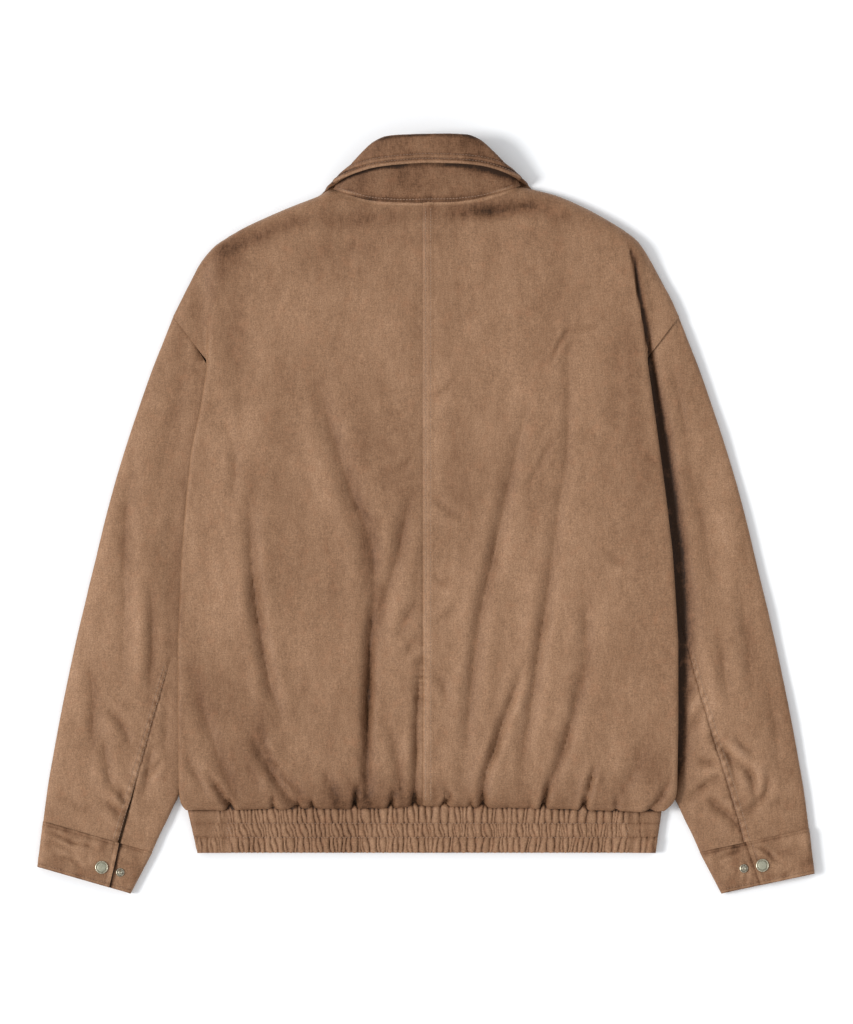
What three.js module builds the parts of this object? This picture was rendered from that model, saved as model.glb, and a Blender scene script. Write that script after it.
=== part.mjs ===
// A suede blouson jacket laid flat on its front, seen from the back.
// Millimetres, +Z up from the surface it lies on, +Y towards the collar, X across.
// Every piece of cloth is a closed wall built on a grid of points of its middle surface.
import * as THREE from "three";

// Driving dimensions
const WALL = 2; // suede with its lining
const COLLAR_WALL = 2.4;
const CUFF_WALL = 2.6;
const BAND_WALL = 2.2;
const SEAM = 0.3; // gap between two pieces at a seam
const HEM_Y = -300; // lower edge of the body panels
const YOKE_Y = 157; // the side fold meets the armhole seam here
const UNDERARM_Y = -47;
const SHOULDER_END_Y = 202;
const CENTRE_BACK_X = -3.6;
const BACK_CROWN = 2; // rise of the back between its side folds
const CENTRE_SEAM_DIP = 1.6;
const CENTRE_SEAM_REACH = 12;

// Where the side folds lie, and how high the back and its folded-under return are
const BODY = [
  { y: -300, left: 247, right: 245, top: 11, under: 7 },
  { y: -296, left: 251, right: 251, top: 16, under: 9.4 },
  { y: -289, left: 253, right: 256, top: 19.5, under: 12.6 },
  { y: -280, left: 254, right: 258, top: 20.5, under: 13.6 },
  { y: -212, left: 255, right: 259, top: 20.5, under: 13.6 },
  { y: -130, left: 255, right: 259, top: 20, under: 13.6 },
  { y: -47, left: 251.5, right: 254, top: 20, under: 13.6 },
  { y: 14, left: 246.5, right: 247, top: 20, under: 13.6 },
  { y: 66, left: 241, right: 240, top: 20, under: 13.6 },
  { y: 117, left: 230, right: 233, top: 20, under: 13.6 },
  { y: 157, left: 224.5, right: 227.5, top: 20, under: 13.6 },
];

// Side seam from the hem to the underarm, then armhole seam to the shoulder's end
const SIDE = [
  { y: -300, x: 236 },
  { y: -284, x: 232 },
  { y: -250, x: 224 },
  { y: -212, x: 214 },
  { y: -175, x: 206 },
  { y: -130, x: 200.5 },
  { y: -47, x: 197.5 },
  { y: 0, x: 199 },
  { y: 60, x: 205 },
  { y: 100, x: 211 },
  { y: 130, x: 217 },
  { y: 157, x: 225 },
  { y: 202, x: 259 },
];

// Upper edge of a back half, one row for each column of its grid, from the centre
// along the neck and the shoulder to the armhole; share is the place across the back
const BACK_EDGE = [
  { share: 0, x: 0, left: 319.6, right: 319.6, z: 19.5 },
  { share: 0.1, x: 22, left: 319, right: 319.9, z: 19.4 },
  { share: 0.19, x: 42, left: 319.9, right: 321.5, z: 19 },
  { share: 0.27, x: 58, left: 321.6, right: 324, z: 18 },
  { share: 0.355, x: 76, left: 326.3, right: 329.3, z: 16.4 },
  { share: 0.43, x: 91, left: 330.6, right: 334, z: 13 },
  { share: 0.48, x: 98, left: 331.5, right: 334.5, z: 8.15 },
  { share: 0.545, x: 112, left: 324.5, right: 331.5, z: 8.15 },
  { share: 0.63, x: 133, left: 316.5, right: 326, z: 8.15 },
  { share: 0.74, x: 158, left: 306, right: 315.5, z: 8.15 },
  { share: 0.87, x: 187, left: 292.5, right: 300, z: 8.15 },
  { share: 1, x: 208, left: 280, right: 286.5, z: 8.15 },
];

// The rest of that edge; turn is the place round the side fold, 1 at its outermost
const BACK_EDGE_DROP = [
  { turn: 0.5, x: 216, left: 274.5, right: 280, z: 8.15 },
  { turn: 1, x: 224, left: 266, right: 269, z: 8.15 },
  { turn: 1.15, x: 232, left: 255, right: 255, z: 8.15 },
  { turn: 1.3, x: 240, left: 239.5, right: 239.5, z: 8.15 },
  { turn: 1.6, x: 249.5, left: 221, right: 223, z: 8.15 },
  { turn: 2, x: 259, left: 202, right: 202, z: 8.15 },
];
const FOLD_END_TURN = 1.3;
const NECK_COLUMNS = 6;
const HEM_ROWS = [0, 2, 6, 12, 22, 38]; // heights above the hem, where the back curls in
const BACK_ROW_PITCH = 24.6;
const EDGE_REACH = 18;
const EDGE_CURL = 16;
// Rows above the last level one: the first by share, then by distance from the edge
const UPPER_ROWS = [
  { share: 0.25 },
  { share: 0.5 },
  { share: 0.75 },
  { distance: 18 },
  { distance: 11 },
  { distance: 5 },
  { distance: 1.5 },
  { distance: 0 },
];

// Front halves: the neckline from the centre front, then the shoulder as on the back
const NECK_FRONT = [
  { share: 0, x: -14, y: 252.5 },
  { share: 0.14, x: 16, y: 253.5 },
  { share: 0.24, x: 49, y: 261.5 },
  { share: 0.35, x: 76.5, y: 279.5 },
  { share: 0.43, x: 91, y: 302.5 },
  { share: 0.47, x: 96.5, y: 320 },
];
const FRONT_SIDE_COLUMNS = [
  { turn: 0, x: 240, left: 239.5, right: 239.5 },
  { turn: 0.5, x: 249.5, left: 221, right: 223 },
  { turn: 1, x: 255, left: 209, right: 210 },
  { turn: 2, x: 259, left: 202, right: 202 },
];
const FRONT_OVERLAP = 14;
const FRONT_ROW_PITCH = 46;
const FRONT_UPPER_ROWS = [
  { share: 0.3 },
  { share: 0.6 },
  { distance: 7 },
  { distance: 4 },
  { distance: 1.2 },
  { distance: 0 },
];
const FRONT_CURL = 7;
const SHOULDER_SHARE = { from: 0.14, to: 0.9 }; // where the shoulder lies across a front
const SHOULDER_END = { share: 0.95, x: 224, left: 266, right: 269 };
const FLAT_MARGIN = 4; // the flat of a front ends this far inside its side's curl
const PLACKET_COLUMN = 2; // the right front's lapped strip is sewn on at this column
const SIDE_CURL = 6;
const SHOULDER_SEAM_Z = 8;
const SNAP_HEIGHT = 1.6;
const PLACKET_LIFT = WALL + 2 * SEAM + SNAP_HEIGHT;
const PLACKET_REACH = 18;
const PLACKET_FADE = 22;
const NECK_LIFT = 3.7; // room for the collar leaf under the fronts
const NECK_LIFT_Y = { from: 160, to: 203 };
const NECK_LIFT_X = { to: 124, from: 165 };
const FRONT_SNAPS = { count: 5, lowest: -225, pitch: 94, radius: 6.75 };
const BAND_SNAP_Y = -325;

// Large folds of the back, each a soft trough between two points
const FOLDS = [
  { x0: -178, y0: -70, x1: -140, y1: -285, width: 13, depth: 4.2 },
  { x0: -196, y0: -165, x1: -172, y1: -292, width: 10, depth: 2.6 },
  { x0: -70, y0: 20, x1: -58, y1: -290, width: 16, depth: 5 },
  { x0: -20, y0: 55, x1: -44, y1: -60, width: 9, depth: 2.4 },
  { x0: -36, y0: -180, x1: -30, y1: -292, width: 9, depth: 3 },
  { x0: -118, y0: -175, x1: -96, y1: -292, width: 11, depth: 3 },
  { x0: 74, y0: 20, x1: 34, y1: -290, width: 14, depth: 4.6 },
  { x0: 142, y0: 160, x1: 138, y1: -20, width: 8, depth: 3 },
  { x0: 138, y0: -20, x1: 100, y1: -290, width: 13, depth: 4.4 },
  { x0: 108, y0: -120, x1: 66, y1: -290, width: 9, depth: 3.4 },
  { x0: 160, y0: -130, x1: 150, y1: -290, width: 11, depth: 3.6 },
  { x0: 214, y0: -215, x1: 190, y1: -290, width: 10, depth: 2.4 },
  { x0: 60, y0: 300, x1: 150, y1: 306, width: 14, depth: 2 },
  { x0: -120, y0: 262, x1: -60, y1: 276, width: 18, depth: 1.8 },
];

// Plan of a sleeve from the armhole to the cuff: its outer edge and its inner fold,
// with the height of its upper layer at the folds and the rise between them
const SLEEVE = [
  { ox: 260, oy: 202, ix: 197.5, iy: -47, edge: 11.1, rise: 0 },
  { ox: 270, oy: 176, ix: 203, iy: -75, edge: 10.4, rise: 2.5 },
  { ox: 281, oy: 148, ix: 205, iy: -100, edge: 9.6, rise: 4 },
  { ox: 292.5, oy: 115, ix: 207.5, iy: -126, edge: 8.8, rise: 5 },
  { ox: 305.5, oy: 76, ix: 210.5, iy: -150, edge: 8.4, rise: 6 },
  { ox: 318, oy: 35, ix: 215, iy: -175, edge: 8, rise: 7 },
  { ox: 329, oy: -6, ix: 220, iy: -198, edge: 8, rise: 7 },
  { ox: 339.5, oy: -50, ix: 227, iy: -220, edge: 8, rise: 7 },
  { ox: 349.5, oy: -92, ix: 234, iy: -242, edge: 8, rise: 6.6 },
  { ox: 359, oy: -132, ix: 241.5, iy: -262, edge: 8, rise: 6.2 },
  { ox: 367.5, oy: -172, ix: 249.5, iy: -282, edge: 8, rise: 5.6 },
  { ox: 375.5, oy: -212, ix: 258, iy: -298, edge: 8, rise: 5 },
  { ox: 382.5, oy: -250, ix: 265.5, iy: -314, edge: 8, rise: 4.2 },
  { ox: 388.5, oy: -285, ix: 273, iy: -329, edge: 8, rise: 3.4 },
  { ox: 393.5, oy: -323, ix: 281, iy: -347, edge: 9, rise: 2.4 },
];
const SLEEVE_SHORTER = { left: 7, right: 0 }; // the outer edge ends this much higher
const SLEEVE_FOLD = 6; // reach of a fold's round, along a row
const ARMHOLE_EASE = 0.7; // the sleeve's end keeps this much more from the body's
const SLEEVE_GAP = 0.25; // half of a seam's gap, along the slanted rows
const BACK_SEAM = { left: 0.34, right: 0.4 }; // share of the width, from the inner fold
const FRONT_SEAM = 0.45;
const EAVE_CLEARANCE = 11.1; // the sleeve stays this low under the back's return
const EAVE_SLOPE = 0.25;
const EAVE_MARGIN = 14;
const FOLD_STEPS = 5;

// Cuffs: shares are measured from the inner fold
const CUFF = {
  outerBottom: { x: 399.5, y: -369.5 },
  innerBottom: { x: 303, y: -389.5 },
  overlapEnd: { left: 0.34, right: 0.42 },
  underlap: 0.24,
  outerZ: 12.2,
  innerZ: 9,
  fold: 5,
  rows: [0, 0.34, 0.67, 1],
  outerParts: [0, 0.4, 0.75, 1],
  lowerParts: [0, 0.33, 0.67, 1],
  innerParts: [0, 0.5, 1],
};
const CUFF_SNAPS = {
  left: { cap: { x: -333, y: -362.7 }, stud: { x: -314, y: -368 } },
  right: { cap: { x: 345.3, y: -360.7 }, stud: { x: 326.3, y: -364 } },
};
const CAP = { radius: 6.75, height: 1.5, rim: 1 };
const STUD = { radius: 4.4, height: 1.2, post: 2.2, postHeight: 2.6 };

// Collar from the centre back round to the front edge: n is the neck seam, f the roll
// line, e the leaf's free edge; roll is the way the leaf faces, up (90) to down (-90)
const COLLAR_CENTRE_X = 1;
const COLLAR_TILT = 0.02;
const NECK_EASE = 0.5; // the stand starts this far above the body's edge
const COLLAR_PARTS = [0, 0.34, 0.68, 1];
const ROLL_MIDDLE = 40; // degrees round the roll where its middle points lie
const COLLAR = [
  { nx: 0, ny: 319.6, nz: 19.5, fx: 0, fy: 388.3, fz: 37, ex: 0, ey: 360, ez: 35.5, roll: 90, r: 3 },
  { nx: 22, ny: 319.4, nz: 19.4, fx: 21, fy: 388.2, fz: 36.6, ex: 27, ey: 359, ez: 35.1, roll: 90, r: 3 },
  { nx: 42, ny: 320.7, nz: 19, fx: 40, fy: 387, fz: 35, ex: 52, ey: 356.5, ez: 33.5, roll: 90, r: 3 },
  { nx: 58, ny: 322.8, nz: 18, fx: 53, fy: 382, fz: 33, ex: 68, ey: 352.6, ez: 31, roll: 88, r: 2.8 },
  { nx: 76, ny: 327.8, nz: 16.4, fx: 67, fy: 370, fz: 29.5, ex: 82, ey: 347.5, ez: 28, roll: 84, r: 2.6 },
  { nx: 91, ny: 333, nz: 13, fx: 80, fy: 356.5, fz: 24, ex: 92.5, ey: 342.5, ez: 22.5, roll: 72, r: 2.2 },
  { nx: 94.8, ny: 335, nz: 9.8, fx: 91.5, fy: 345.5, fz: 15, ex: 100.5, ey: 338.5, ez: 11.5, roll: 25, r: 1.9 },
  { nx: 94.5, ny: 332, nz: 6.6, fx: 90.5, fy: 338.5, fz: 5, ex: 104.5, ey: 334.5, ez: 2, roll: -62, r: 1.9 },
  { nx: 94, ny: 320, nz: 4.6, fx: 87, fy: 325, fz: 3.2, ex: 117, ey: 318, ez: 1.2, roll: -90, r: 1.7 },
  { nx: 89, ny: 303, nz: 4.5, fx: 84, fy: 308.5, fz: 2.9, ex: 119, ey: 290, ez: 1.2, roll: -90, r: 1.7 },
  { nx: 75, ny: 281, nz: 4.5, fx: 70, fy: 287, fz: 2.9, ex: 106, ey: 257, ez: 1.2, roll: -90, r: 1.7 },
  { nx: 48, ny: 262.5, nz: 4.5, fx: 45, fy: 269, fz: 2.9, ex: 86, ey: 230, ez: 1.2, roll: -90, r: 1.7 },
  { nx: 17, ny: 254.5, nz: 4.5, fx: 16, fy: 261, fz: 2.9, ex: 64, ey: 212, ez: 1.2, roll: -90, r: 1.7 },
];

// Waistband
const BAND_ROWS = [-300.3, -309, -332, -348];
const BAND_SIDE = { top: { left: 246, right: 243 }, bottom: { left: 235, right: 236 } };
const BAND_FRONT_COLUMNS = [160, 80, 40, 34, 24, 18, 0, -FRONT_OVERLAP];
const BAND_BACK = { left: -206.5, right: 212.5, innerZ: 8.8, thickness: 3 };
const BAND_LIFT = BAND_WALL + 2 * SEAM + SNAP_HEIGHT;
const GATHERS = 66; // in each of the three shirred rows
const GATHER_ROWS = [
  { y: -300.3, height: 0.5, shift: 0 },
  { y: -309, height: 1.4, shift: 0 },
  { y: -317.5, height: 0.1, shift: 0 },
  { y: -324.8, height: 1.3, shift: 1 },
  { y: -332, height: 0.1, shift: 1 },
  { y: -340, height: 1.4, shift: 0 },
  { y: -348, height: 0.9, shift: 0 },
];

const SIDES = { left: -1, right: 1 };
const UP = new THREE.Vector3(0, 0, 1);
const ALONG_Y = new THREE.Vector3(0, 1, 0);
const ALONG_X = new THREE.Vector3(1, 0, 0);
const { clamp, lerp, smoothstep, degToRad } = THREE.MathUtils;

const jacket = new THREE.Group();

function cloth(color) {
  return new THREE.MeshStandardMaterial({ color, roughness: 0.85, metalness: 0 });
}

function metal() {
  return new THREE.MeshStandardMaterial({ color: 0xb5ad94, roughness: 0.35, metalness: 0.9 });
}

function addPiece(name, geometry, material) {
  const mesh = new THREE.Mesh(geometry, material);
  mesh.name = name;
  jacket.add(mesh);
  return mesh;
}

// One column of a table at a key that rises from row to row, straight between rows
function column(table, key, at, name) {
  let i = 0;
  while (i < table.length - 2 && table[i + 1][key] < at) i++;
  const a = table[i];
  const b = table[i + 1];
  return lerp(a[name], b[name], clamp((at - a[key]) / (b[key] - a[key]), 0, 1));
}

function point(x, y, z) {
  return new THREE.Vector3(x, y, z);
}

// A closed body from its vertices and triangles, turned so that its faces point out
function closedGeometry(vertices, triangles) {
  let volume = 0;
  for (const [a, b, c] of triangles) {
    volume += vertices[a].dot(vertices[b].clone().cross(vertices[c]));
  }
  const index = triangles.flatMap(([a, b, c]) => (volume > 0 ? [a, b, c] : [a, c, b]));
  const geometry = new THREE.BufferGeometry().setFromPoints(vertices);
  geometry.setIndex(index);
  geometry.computeVertexNormals();
  return geometry;
}

// A wall of even thickness about a grid of points. seams(i, j) may list directions
// that the wall's edge is square to at a grid point.
function wall(grid, thickness, seams) {
  const rows = grid.length;
  const columns = grid[0].length;
  const vertices = [];
  const triangles = [];
  const at = (i, j, face) => face * rows * columns + i * columns + j;
  const offsets = grid.map((row, i) =>
    row.map((_, j) => {
      const along = grid[Math.min(i + 1, rows - 1)][j].clone().sub(grid[Math.max(i - 1, 0)][j]);
      const across = row[Math.min(j + 1, columns - 1)].clone().sub(row[Math.max(j - 1, 0)]);
      const normal = across.cross(along).normalize();
      for (const seam of seams(i, j)) normal.addScaledVector(seam, -normal.dot(seam)).normalize();
      return normal.multiplyScalar(thickness / 2);
    }),
  );
  for (const way of [1, -1]) {
    for (let i = 0; i < rows; i++) {
      for (let j = 0; j < columns; j++) {
        vertices.push(grid[i][j].clone().addScaledVector(offsets[i][j], way));
      }
    }
  }
  const quad = (a, b, c, d) => triangles.push([a, b, c], [a, c, d]);
  for (let i = 0; i < rows - 1; i++) {
    for (let j = 0; j < columns - 1; j++) {
      quad(at(i, j, 0), at(i, j + 1, 0), at(i + 1, j + 1, 0), at(i + 1, j, 0));
      quad(at(i, j, 1), at(i + 1, j, 1), at(i + 1, j + 1, 1), at(i, j + 1, 1));
    }
  }
  const last = { i: rows - 1, j: columns - 1 };
  for (let j = 0; j < last.j; j++) {
    quad(at(0, j, 0), at(0, j, 1), at(0, j + 1, 1), at(0, j + 1, 0));
    quad(at(last.i, j, 0), at(last.i, j + 1, 0), at(last.i, j + 1, 1), at(last.i, j, 1));
  }
  for (let i = 0; i < last.i; i++) {
    quad(at(i, 0, 0), at(i + 1, 0, 0), at(i + 1, 0, 1), at(i, 0, 1));
    quad(at(i, last.j, 0), at(i, last.j, 1), at(i + 1, last.j, 1), at(i + 1, last.j, 0));
  }
  return closedGeometry(vertices, triangles);
}

// Depth of all the troughs at a place on the back
function foldDepth(x, y) {
  let depth = 0;
  for (const fold of FOLDS) {
    const dx = fold.x1 - fold.x0;
    const dy = fold.y1 - fold.y0;
    const length = Math.hypot(dx, dy);
    const along = ((x - fold.x0) * dx + (y - fold.y0) * dy) / length;
    const aside = ((x - fold.x0) * dy - (y - fold.y0) * dx) / length;
    const ends = smoothstep(along, -10, length * 0.45) * (1 - smoothstep(along, length, length + 15));
    depth += fold.depth * ends * Math.exp(-((aside / fold.width) ** 2));
  }
  return depth;
}

// Points that carry a layer round a fold, on a half ellipse between two heights
function foldPoints(centre, outward, reach, upper, lower) {
  const middle = (upper + lower) / 2;
  const points = [];
  for (let k = 1; k < FOLD_STEPS; k++) {
    const angle = Math.PI * (0.5 - k / FOLD_STEPS);
    const out = centre.clone().addScaledVector(outward, reach * Math.cos(angle));
    points.push(out.setZ(middle + ((upper - lower) / 2) * Math.sin(angle)));
  }
  return points;
}

// The armhole seam's direction is level from the yoke to the shoulder's end
function armholeNormal(sign) {
  const dx = column(SIDE, "y", SHOULDER_END_Y, "x") - column(SIDE, "y", YOKE_Y, "x");
  return point(SHOULDER_END_Y - YOKE_Y, -sign * dx, 0).normalize();
}

// Back halves

function foldX(side, y) {
  return column(BODY, "y", y, side) - WALL / 2;
}

// One level row of a back half: over the top, round the side fold and back to the seam
function backRow(side, y) {
  const sign = SIDES[side];
  const fold = foldX(side, y);
  const top = column(BODY, "y", y, "top");
  const under = column(BODY, "y", y, "under");
  const radius = (top - under) / 2;
  const start = sign * CENTRE_BACK_X + SEAM / 2;
  const seamX = column(SIDE, "y", y, "x");
  const calm = lerp(0.2, 1, smoothstep(y, HEM_Y, HEM_Y + 20));
  const row = BACK_EDGE.map(({ share }) => {
    const x = lerp(start, fold - radius, share);
    const dip = CENTRE_SEAM_DIP * Math.exp(-(((x - start) / CENTRE_SEAM_REACH) ** 2));
    const troughs = foldDepth(sign * x, y) * (1 - share ** 4);
    return point(sign * x, y, top + calm * (BACK_CROWN * (1 - share ** 2) - dip - troughs));
  });
  const bend = clamp(seamX - fold, -radius, radius);
  for (const { turn } of BACK_EDGE_DROP) {
    const upperAngle = (Math.PI / 2) * Math.min(turn, 1);
    const lowerAngle = (Math.PI / 2) * clamp((turn - 1) / (FOLD_END_TURN - 1), 0, 1);
    const run = Math.max((turn - FOLD_END_TURN) / (2 - FOLD_END_TURN), 0);
    const round = fold - radius * (1 - Math.sin(upperAngle)) + bend * (1 - Math.cos(lowerAngle));
    const z = under + radius * (1 + Math.cos(upperAngle) - Math.sin(lowerAngle));
    row.push(point(sign * lerp(round, seamX, run), y, z));
  }
  return row;
}

// Upper rows run from the last level row to the neck, the shoulder and the armhole
function backUpperRows(side, base) {
  const sign = SIDES[side];
  const edges = [...BACK_EDGE, ...BACK_EDGE_DROP];
  const ends = edges.map((edge, j) => {
    const x = j === 0 ? sign * CENTRE_BACK_X + SEAM / 2 : edge.x;
    return point(sign * x, edge[side] - (j <= NECK_COLUMNS ? SEAM / 2 : 0), edge.z);
  });
  return UPPER_ROWS.map(({ share, distance }) =>
    ends.map((end, j) => {
      const length = Math.hypot(end.x - base[j].x, end.y - base[j].y);
      const near = Math.min(EDGE_REACH, length * 0.5);
      const fromEdge = distance === undefined ? lerp(length, near, share) : (distance * near) / EDGE_REACH;
      const place = base[j].clone().lerp(end, 1 - fromEdge / length);
      const rest = clamp(fromEdge / Math.min(EDGE_CURL, near), 0, 1);
      const held = Math.sqrt(1 - (1 - rest) ** 2);
      const onTop = j < BACK_EDGE.length - 2 ? 1 : 0;
      const troughs = foldDepth(place.x, place.y) * smoothstep(fromEdge, 4, 40) * onTop;
      return place.setZ(lerp(end.z, base[j].z, held) - troughs);
    }),
  );
}

function addBack(side) {
  const grid = HEM_ROWS.map((height) => backRow(side, HEM_Y + height));
  const from = HEM_Y + HEM_ROWS[HEM_ROWS.length - 1];
  const count = Math.round((YOKE_Y - from) / BACK_ROW_PITCH);
  for (let k = 1; k <= count; k++) grid.push(backRow(side, lerp(from, YOKE_Y, k / count)));
  const level = grid.length;
  grid.push(...backUpperRows(side, grid[level - 1]));
  const last = { i: grid.length - 1, j: grid[0].length - 1 };
  const seams = (i, j) => {
    const list = [];
    if (i === 0) list.push(ALONG_Y);
    if (j === 0) list.push(ALONG_X);
    if (j === last.j) list.push(i < level ? ALONG_X : armholeNormal(SIDES[side]));
    if (i === last.i) list.push(j < NECK_COLUMNS ? ALONG_Y : UP);
    return list;
  };
  addPiece(`back_${side}`, wall(grid, WALL, seams), cloth(0x99755b));
}

// Front halves

function frontZ(side, x, y) {
  const lap = side === "right" ? 1 - smoothstep(x, PLACKET_REACH, PLACKET_REACH + PLACKET_FADE) : 0;
  const rise = smoothstep(y, NECK_LIFT_Y.from, NECK_LIFT_Y.to);
  const inside = 1 - smoothstep(x, NECK_LIFT_X.to, NECK_LIFT_X.from);
  return WALL / 2 + PLACKET_LIFT * lap + NECK_LIFT * rise * inside;
}

function frontColumns() {
  const neck = NECK_FRONT.map(({ share, x, y }) => ({ share, x, left: y, right: y }));
  const shoulder = BACK_EDGE.slice(NECK_COLUMNS).map(({ share, ...edge }) => {
    return { share: lerp(SHOULDER_SHARE.from, SHOULDER_SHARE.to, share), ...edge };
  });
  return [...neck, ...shoulder, SHOULDER_END];
}

// One level row of a front half; below the underarm its side turns up to the back
function frontRow(side, y) {
  const sign = SIDES[side];
  const seamX = column(SIDE, "y", y, "x");
  const flat = seamX - SIDE_CURL;
  const row = frontColumns().map(({ share }) => {
    const x = lerp(-FRONT_OVERLAP, flat - FLAT_MARGIN, share);
    return point(sign * x, y, frontZ(side, x, y));
  });
  const wallTop = column(BODY, "y", y, "under") - WALL / 2 - SEAM;
  const curl = Math.min(SIDE_CURL, wallTop - WALL / 2 - 0.6);
  const up = 1 - smoothstep(y, UNDERARM_Y - 12, UNDERARM_Y - 2);
  for (const { turn } of FRONT_SIDE_COLUMNS) {
    const angle = (Math.PI / 2) * Math.min(turn, 1);
    const raisedX = seamX - SEAM / 2 - curl * (1 - Math.sin(angle));
    const raisedZ = turn > 1 ? wallTop : WALL / 2 + curl * (1 - Math.cos(angle));
    const levelX = flat + (SIDE_CURL - SEAM / 2) * (turn / 2);
    row.push(point(sign * lerp(levelX, raisedX, up), y, lerp(WALL / 2, raisedZ, up)));
  }
  return row;
}

function frontUpperRows(side, base) {
  const sign = SIDES[side];
  const edges = [...frontColumns(), ...FRONT_SIDE_COLUMNS];
  const ends = edges.map((edge, j) => {
    const gap = j <= NECK_COLUMNS ? SEAM / 2 : 0;
    return point(sign * edge.x, edge[side] - gap, 0);
  });
  return FRONT_UPPER_ROWS.map(({ share, distance }) =>
    ends.map((end, j) => {
      const length = Math.hypot(end.x - base[j].x, end.y - base[j].y);
      const fromEdge = distance === undefined ? lerp(length, FRONT_CURL, share) : distance;
      const place = base[j].clone().lerp(end, 1 - fromEdge / length);
      const flat = frontZ(side, sign * place.x, place.y);
      const rise = 1 - Math.sqrt(1 - (1 - clamp(fromEdge / FRONT_CURL, 0, 1)) ** 2);
      return place.setZ(lerp(flat, j < NECK_COLUMNS ? flat : SHOULDER_SEAM_Z - SEAM / 2, rise));
    }),
  );
}

function addFront(side) {
  const sign = SIDES[side];
  const heights = [HEM_Y, HEM_Y + 4, HEM_Y + 16];
  const spread = (from, to) => {
    const count = Math.round((to - from) / FRONT_ROW_PITCH);
    for (let k = 1; k <= count; k++) heights.push(lerp(from, to, k / count));
  };
  spread(HEM_Y + 16, UNDERARM_Y - 14);
  spread(UNDERARM_Y - 14, YOKE_Y);
  heights.splice(heights.indexOf(UNDERARM_Y - 14) + 1, 0, UNDERARM_Y);
  const grid = heights.map((y) => frontRow(side, y));
  const level = grid.length;
  grid.push(...frontUpperRows(side, grid[level - 1]));
  const last = { i: grid.length - 1, j: grid[0].length - 1 };
  const sideSeam = (i) => {
    if (i >= level) return armholeNormal(sign);
    return grid[i][last.j].y < UNDERARM_Y - 1 ? UP : ALONG_X;
  };
  const addPart = (name, from, to) => {
    const part = grid.map((row) => row.slice(from, to + 1).map((p) => p.clone()));
    for (const row of part) {
      if (to < last.j) row[to - from].x -= (sign * SEAM) / 2;
      if (from > 0) row[0].x += (sign * SEAM) / 2;
    }
    const seams = (i, column) => {
      const j = column + from;
      const list = [];
      if (i === 0) list.push(ALONG_Y);
      if (j === from || (j === to && to < last.j)) list.push(ALONG_X);
      if (j === last.j) list.push(sideSeam(i));
      if (i === last.i) list.push(j < NECK_COLUMNS ? ALONG_Y : UP);
      return list;
    };
    addPiece(name, wall(part, WALL, seams), cloth(0x8f6c53));
  };
  if (side === "right") {
    addPart("front_right_placket", 0, PLACKET_COLUMN);
    addPart("front_right", PLACKET_COLUMN, last.j);
  } else {
    addPart("front_left", 0, last.j);
  }
}

// Sleeves

// Plan position at a share of a row's width, measured from the inner fold
function sleevePlan(side, row, share, shift = 0) {
  const sign = SIDES[side];
  const { ox, oy, ix, iy } = SLEEVE[row];
  if (row === 0) {
    const y = lerp(UNDERARM_Y, SHOULDER_END_Y, share) + shift;
    return point(sign * (column(SIDE, "y", y, "x") + SEAM / 2 + ARMHOLE_EASE), y, 0);
  }
  const higher = (SLEEVE_SHORTER[side] * row) / (SLEEVE.length - 1);
  const outer = point(sign * (ox - WALL / 2), oy + higher, 0);
  const inner = point(sign * (ix + WALL / 2), iy, 0);
  const along = outer.clone().sub(inner).normalize();
  return inner.lerp(outer, share).addScaledVector(along, shift);
}

function sleeveTopZ(side, row, share, place) {
  const { edge, rise } = SLEEVE[row];
  const crown = edge + rise * Math.sin(Math.PI * clamp(share, 0, 1)) ** 0.8;
  const fold = place.y > YOKE_Y ? 0 : foldX(side, place.y) + EAVE_MARGIN;
  return Math.min(crown, EAVE_CLEARANCE + EAVE_SLOPE * Math.max(Math.abs(place.x) - fold, 0));
}

// One row of points from the back seam over a fold to the front seam underneath
function sleeveRow(side, row, outer, counts) {
  const { ox, oy, ix, iy } = SLEEVE[row];
  const reach = SLEEVE_FOLD / Math.hypot(ox - ix, oy - iy);
  const way = outer ? 1 : -1;
  const foldShare = outer ? 1 - reach : reach;
  const points = [];
  for (let k = 0; k <= counts.upper; k++) {
    const share = lerp(BACK_SEAM[side], foldShare, k / counts.upper);
    const place = sleevePlan(side, row, share, k === 0 ? way * SLEEVE_GAP : 0);
    points.push(place.setZ(sleeveTopZ(side, row, share, place)));
  }
  const upper = points[counts.upper].z;
  const centre = sleevePlan(side, row, foldShare);
  const outward = sleevePlan(side, row, outer ? 1 : 0).sub(centre);
  const span = outward.length();
  points.push(...foldPoints(centre, outward.normalize(), span, upper, WALL / 2));
  for (let k = 0; k <= counts.lower; k++) {
    const share = lerp(foldShare, FRONT_SEAM, k / counts.lower);
    const place = sleevePlan(side, row, share, k === counts.lower ? way * SLEEVE_GAP : 0);
    points.push(place.setZ(WALL / 2));
  }
  return points;
}

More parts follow.
